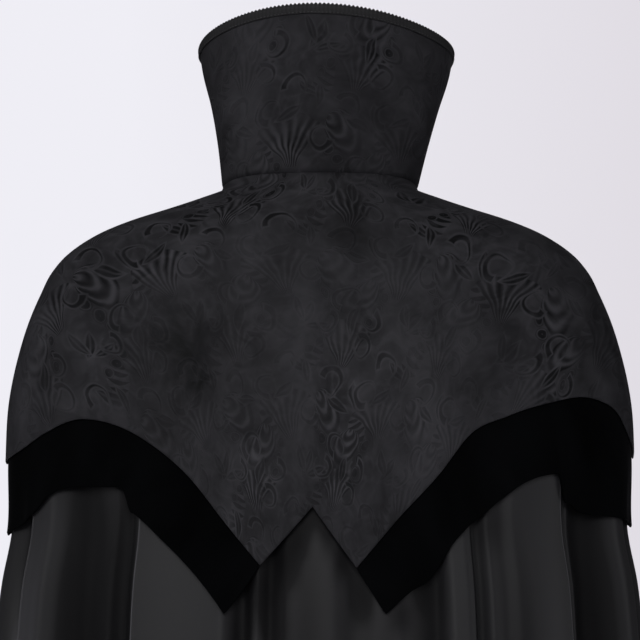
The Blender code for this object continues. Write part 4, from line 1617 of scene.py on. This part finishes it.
class CLOAK_OT_velvet(bpy.types.Operator):
    """Makes the four quarters of the velvet band"""

    bl_idname = "cloak.velvet"
    bl_label = "Velvet band"

    def execute(self, context):
        finish = shared("cloak_velvet", velvet_finish, context.scene.cloak_cloth)
        for name, half, is_front in quarters():
            self.make_quarter(name, half, is_front, finish)
        return {"FINISHED"}

    def make_quarter(self, name, half, is_front, finish):
        """A quarter lapped under the capelet's arch, its inner end in line with the notch."""
        hem, edge = half["hem"], half["edge"]
        along_arch = with_supports(np.linspace(0, 1, VELVET_COLUMNS + 1), SUPPORT_SHARE)
        row = np.linspace(-VELVET_LAP, 1, VELVET_ROWS)[:, None]
        lapped = np.clip(-row / VELVET_LAP, 0, 1) * VELVET_LAP_INSET
        share = along_arch + lapped * (1 - along_arch)
        top_angle = hem["angle"][0] + share * (90 - hem["angle"][0])
        low_angle = edge["angle"][0] + share * (90 - edge["angle"][0])
        steps = top_angle + np.clip(row, 0, 1) * (low_angle - top_angle)
        top_drop = smooth(hem, "drop", top_angle)
        drop = top_drop + row * (velvet_edge(edge, half["tuck"], low_angle) - top_drop)
        hang = np.broadcast_to(row, drop.shape)
        angle = half["side"] * (180 - steps if is_front else steps)

        def surface(at_angle, at_drop):
            """The velvet's outer face, each row with its own hang."""
            return velvet_surface(at_angle, at_drop, hang)

        angle = drawn_in(surface, angle, drop, VELVET_WALL / 2, 0)
        outer = surface(angle, drop)
        inner = inside(surface, angle, drop, VELVET_WALL)
        places = cloth_places(outer, -half["side"])
        piece = cloth_shell(f"velvet_{name}_pile", outer, inner, places, finish, ("last",))
        declare(piece, f"velvet_{name}")
        declare_sheet(outer)


class CLOAK_OT_body(bpy.types.Operator):
    """Makes the four quarters of the satin body"""

    bl_idname = "cloak.body"
    bl_label = "Satin body"

    def execute(self, context):
        finish = shared("cloak_satin", satin_finish, context.scene.cloak_cloth)
        for name, half, is_front in quarters():
            self.make_quarter(name, half["side"], is_front, finish)
        return {"FINISHED"}

    def make_quarter(self, name, side, is_front, finish):
        """A quarter from the neck seam under the capelet to the level hem."""
        low, high = (90, 180) if is_front else (0, 90)
        steps = np.linspace(low, high, SATIN_COLUMNS)
        edges = side * PLEATS["angle"]
        edges = edges[(edges > low) & (edges < high)]
        steps = np.sort(np.concatenate([steps, np.add.outer(edges, PLEAT_COLUMNS).ravel()]))
        steps = with_supports(steps, SUPPORT_ANGLE)
        top = np.linspace(SEAM_GAP, SATIN_TOP_DROP, SATIN_TOP_ROWS)
        rows = np.concatenate([top, np.linspace(SATIN_TOP_DROP, HEM_DROP, SATIN_LOW_ROWS)[1:]])
        drop = np.repeat(rows[:, None], len(steps), axis=1)
        angle = side * panel_angles(steps, drop, is_front)
        angle = drawn_in(satin_surface, angle, drop, 0, SATIN_WALL / 2 if is_front else 0)
        outer = satin_surface(angle, drop)
        inner = inside(satin_surface, angle, drop, SATIN_WALL)
        sewn = sewn_sides(is_front)
        places = cloth_places(outer, -side)
        # Painted shade of the satin, with painted highlights below zero
        shares = {"recess": satin_light(angle, drop)}
        piece = cloth_shell(f"cape_{name}_drape", outer, inner, places, finish, sewn, shares)
        declare(piece, f"cape_{name}")
        declare_sheet(outer)


def inside_collar_front(across, inwards):
    """A point at the centre front, given across and inwards from the collar's inner face there."""
    half_width = smooth(COLLAR, "half_width", FASTENER_SHARE) - COLLAR_WALL
    depth = smooth(COLLAR, "front", FASTENER_SHARE) - COLLAR_WALL
    face = -depth * np.sqrt(1 - (across / half_width) ** 2)
    height = NECK_FRONT_RISE + FASTENER_SHARE * COLLAR_HEIGHT_FRONT
    return np.stack([across, face + inwards, np.full_like(across, height)], axis=-1)


def wire_object(name, route, is_closed, finish):
    """A round wire: circles across the route, turned by its two cross directions, with flat ends. A nudge
    gives an upright stretch a level direction."""
    if is_closed:
        ahead = unit(np.roll(route, -1, axis=0) - np.roll(route, 1, axis=0))
    else:
        ahead = unit(np.gradient(route, axis=0))
    level = unit(np.cross(ahead, (0.0, 0.0, 1.0)) + (0.0, LEVEL_NUDGE, 0.0))
    upright = np.cross(level, ahead)
    turns = np.linspace(0, 2 * np.pi, WIRE_SIDES, endpoint=False)[:, None]
    circle = np.cos(turns) * level[:, None] + np.sin(turns) * upright[:, None]
    rings = route[:, None] + FASTENER_WIRE * circle
    index = np.arange(len(route) * WIRE_SIDES).reshape(len(route), WIRE_SIDES)
    if is_closed:
        faces = [ring_faces(np.concatenate([index, index[:1]]))]
    else:
        faces = [ring_faces(index), index[:1, ::-1], index[-1:]]
    distance = np.cumsum(step_lengths(route[None], 1)[0])
    around = FASTENER_WIRE * np.broadcast_to(turns[:, 0], index.shape)
    places = np.stack([np.broadcast_to(distance[:, None], index.shape), around], axis=-1)
    return mesh_object(name, rings.reshape(-1, 3), faces, places.reshape(-1, 2), finish)


class CLOAK_OT_fastener(bpy.types.Operator):
    """Makes the hook and the oval eye inside the collar's front"""

    bl_idname = "cloak.fastener"
    bl_label = "Hook and eye"

    def execute(self, context):
        finish = shared("cloak_wire", wire_finish, context.scene.cloak_trim)
        steps = np.linspace(0, HOOK_ROUTE["step"][-1], WIRE_POINTS)
        across, inwards = (smooth(HOOK_ROUTE, name, steps) for name in ("across", "inwards"))
        bent = inside_collar_front(across, inwards)
        declare(wire_object("neck_hook_wire", bent, False, finish), "neck_hook")
        turn = np.linspace(0, 2 * np.pi, WIRE_POINTS, endpoint=False)
        across = EYE_CENTRE + EYE_HALF_LENGTH * np.cos(turn)
        ring = inside_collar_front(across, np.full_like(across, 2 * FASTENER_WIRE))
        ring[:, 2] += EYE_HALF_HEIGHT * np.sin(turn)
        declare(wire_object("neck_eye_wire", ring, True, finish), "neck_eye")
        return {"FINISHED"}


# Studio
FLOOR_RADIUS = 3.4
FLOOR_STEPS = 49
FLOOR_GAP = 0.006
FLOOR_COLOUR = (0.74, 0.73, 0.77)
FLOOR_SPECKS = 60.0
FLOOR_GLOW = (0.40, 0.395, 0.42)
BACKDROP_TURN = 0.05
BACKDROP_SPAN = 0.14
LIGHTS = {
    "key": {"place": (0.35, 3.2, 1.4), "size": (2.6, 1.6)},
    "top": {"place": (0.3, 0.6, 2.2), "size": (2.4, 1.2), "target": (0.0, 0.0, -0.1)},
    "side": {"place": (2.6, 0.7, 0.5), "size": (1.6, 2.0)},
    "fill": {"place": (-2.6, 1.0, 0.3), "size": (1.6, 2.0)},
    "front": {"place": (-0.5, -2.6, 0.6), "size": (1.6, 1.2), "is_glossy": False},
}


def aim(thing, place, target):
    """Stands a light or the camera at a place, looking at a target."""
    thing.location = place
    thing.rotation_euler = (Vector(target) - Vector(place)).to_track_quat("-Z", "Y").to_euler()


class CLOAK_OT_stage(bpy.types.Operator):
    """Makes the pale floor, the backdrop, the soft lights and the camera"""

    bl_idname = "cloak.stage"
    bl_label = "Stage"

    def execute(self, context):
        studio = context.scene.cloak_studio
        context.scene.view_settings.view_transform = "Standard"
        self.make_floor()
        self.make_world(context.scene, studio)
        for name, light in LIGHTS.items():
            self.make_light(studio, name, **light)
        self.make_camera(context.scene, studio)
        return {"FINISHED"}

    def make_floor(self):
        """A round pale floor just below the hem, faintly mottled: a square grid bent into a disc. It looks
        paler than its light alone makes it, and sends no more light to the cloak."""
        finish = Finish(bpy.data.materials.new("studio_floor"))
        speck = finish.noise(finish.place(), FLOOR_SPECKS)
        dim = toned(FLOOR_COLOUR, 0.96)
        is_seen = finish.node("ShaderNodeLightPath", {}, {})[0]
        finish.shade(
            {
                "Base Color": finish.mix(speck, dim, FLOOR_COLOUR),
                "Roughness": 0.7,
                "Emission Color": finish.mix(is_seen, (0.0, 0.0, 0.0), FLOOR_GLOW),
                "Emission Strength": 1.0,
            }
        )
        steps = np.linspace(-1, 1, FLOOR_STEPS)
        across, ahead = np.meshgrid(steps, steps)
        level = np.full_like(across, CAD_LOW.z - FLOOR_GAP)
        bent = across * np.sqrt(1 - ahead**2 / 2), ahead * np.sqrt(1 - across**2 / 2)
        points = np.stack([FLOOR_RADIUS * bent[0], FLOOR_RADIUS * bent[1], level], axis=-1).reshape(-1, 3)
        faces = grid_faces(np.arange(across.size).reshape(across.shape))
        floor = mesh_object("studio_floor", points, [faces], points[:, :2], finish.owner)

    def make_world(self, scene, studio):
        """A pale backdrop that the camera sees, and the weaker light of the room."""
        scene.world = bpy.data.worlds.new("studio_world")
        finish = Finish(scene.world, "Background")
        toward = finish.node("ShaderNodeTexCoord", {}, {})[0]
        across, _ = finish.parts(toward)
        to_right = (BACKDROP_TURN - across).rise(BACKDROP_SPAN)
        backdrop = finish.mix(to_right, studio.backdrop_left, studio.backdrop_right)
        is_seen = finish.node("ShaderNodeLightPath", {}, {})[0]
        finish.shade({"Color": backdrop, "Strength": is_seen.larger(studio.room_light)})

    def make_light(self, studio, name, place, size, target=None, is_glossy=True):
        """A large soft rectangle of light, aimed as the camera is unless it has a target of its own."""
        lamp = bpy.data.lights.new(f"{name}_light", "AREA")
        lamp.shape = "RECTANGLE"
        lamp.size, lamp.size_y = size
        lamp.energy = getattr(studio, f"{name}_power")
        light = bpy.data.objects.new(f"{name}_light", lamp)
        light.visible_glossy = is_glossy
        bpy.context.scene.collection.objects.link(light)
        aim(light, place, target or studio.camera_aim)

    def make_camera(self, scene, studio):
        """A long lens behind the wearer, a little below the shoulders and looking up."""
        lens = bpy.data.cameras.new("studio_camera")
        reach = (Vector(studio.camera_aim) - Vector(studio.camera_place)).length
        lens.lens = lens.sensor_width * reach / studio.picture_width
        camera = bpy.data.objects.new("studio_camera", lens)
        scene.collection.objects.link(camera)
        aim(camera, studio.camera_place, studio.camera_aim)
        scene.camera = camera


class CLOAK_PT_panel(bpy.types.Panel):
    """Lists the cloak's pieces and settings"""

    bl_label = "High-collared cloak"
    bl_idname = "CLOAK_PT_panel"
    bl_space_type = "VIEW_3D"
    bl_region_type = "UI"
    bl_category = "Cloak"

    def draw(self, context):
        for piece in PIECES:
            self.layout.operator(piece.bl_idname)
        for group in SETTINGS:
            box = self.layout.box()
            settings = getattr(context.scene, group)
            for name in SETTINGS[group].__annotations__:
                box.prop(settings, name)


SETTINGS = {"cloak_cloth": CloakCloth, "cloak_trim": CloakTrim, "cloak_studio": CloakStudio}
PIECES = (
    CLOAK_OT_stage,
    CLOAK_OT_collar,
    CLOAK_OT_binding,
    CLOAK_OT_capelet,
    CLOAK_OT_velvet,
    CLOAK_OT_body,
    CLOAK_OT_fastener,
)


def register():
    """Adds the settings, operators and panel to Blender."""
    for kind in (*SETTINGS.values(), *PIECES, CLOAK_PT_panel):
        bpy.utils.register_class(kind)
    for name, kind in SETTINGS.items():
        setattr(bpy.types.Scene, name, PointerProperty(type=kind))


def unregister():
    """Takes them out again."""
    for name in SETTINGS:
        delattr(bpy.types.Scene, name)
    for kind in (CLOAK_PT_panel, *reversed(PIECES), *SETTINGS.values()):
        bpy.utils.unregister_class(kind)


def main():
    """Builds the studio and the cloak."""
    register()
    bpy.ops.cloak.stage()
    bpy.ops.cloak.collar()
    bpy.ops.cloak.binding()
    bpy.ops.cloak.capelet()
    bpy.ops.cloak.velvet()
    bpy.ops.cloak.body()
    bpy.ops.cloak.fastener()


if __name__ == "__main__":
    main()
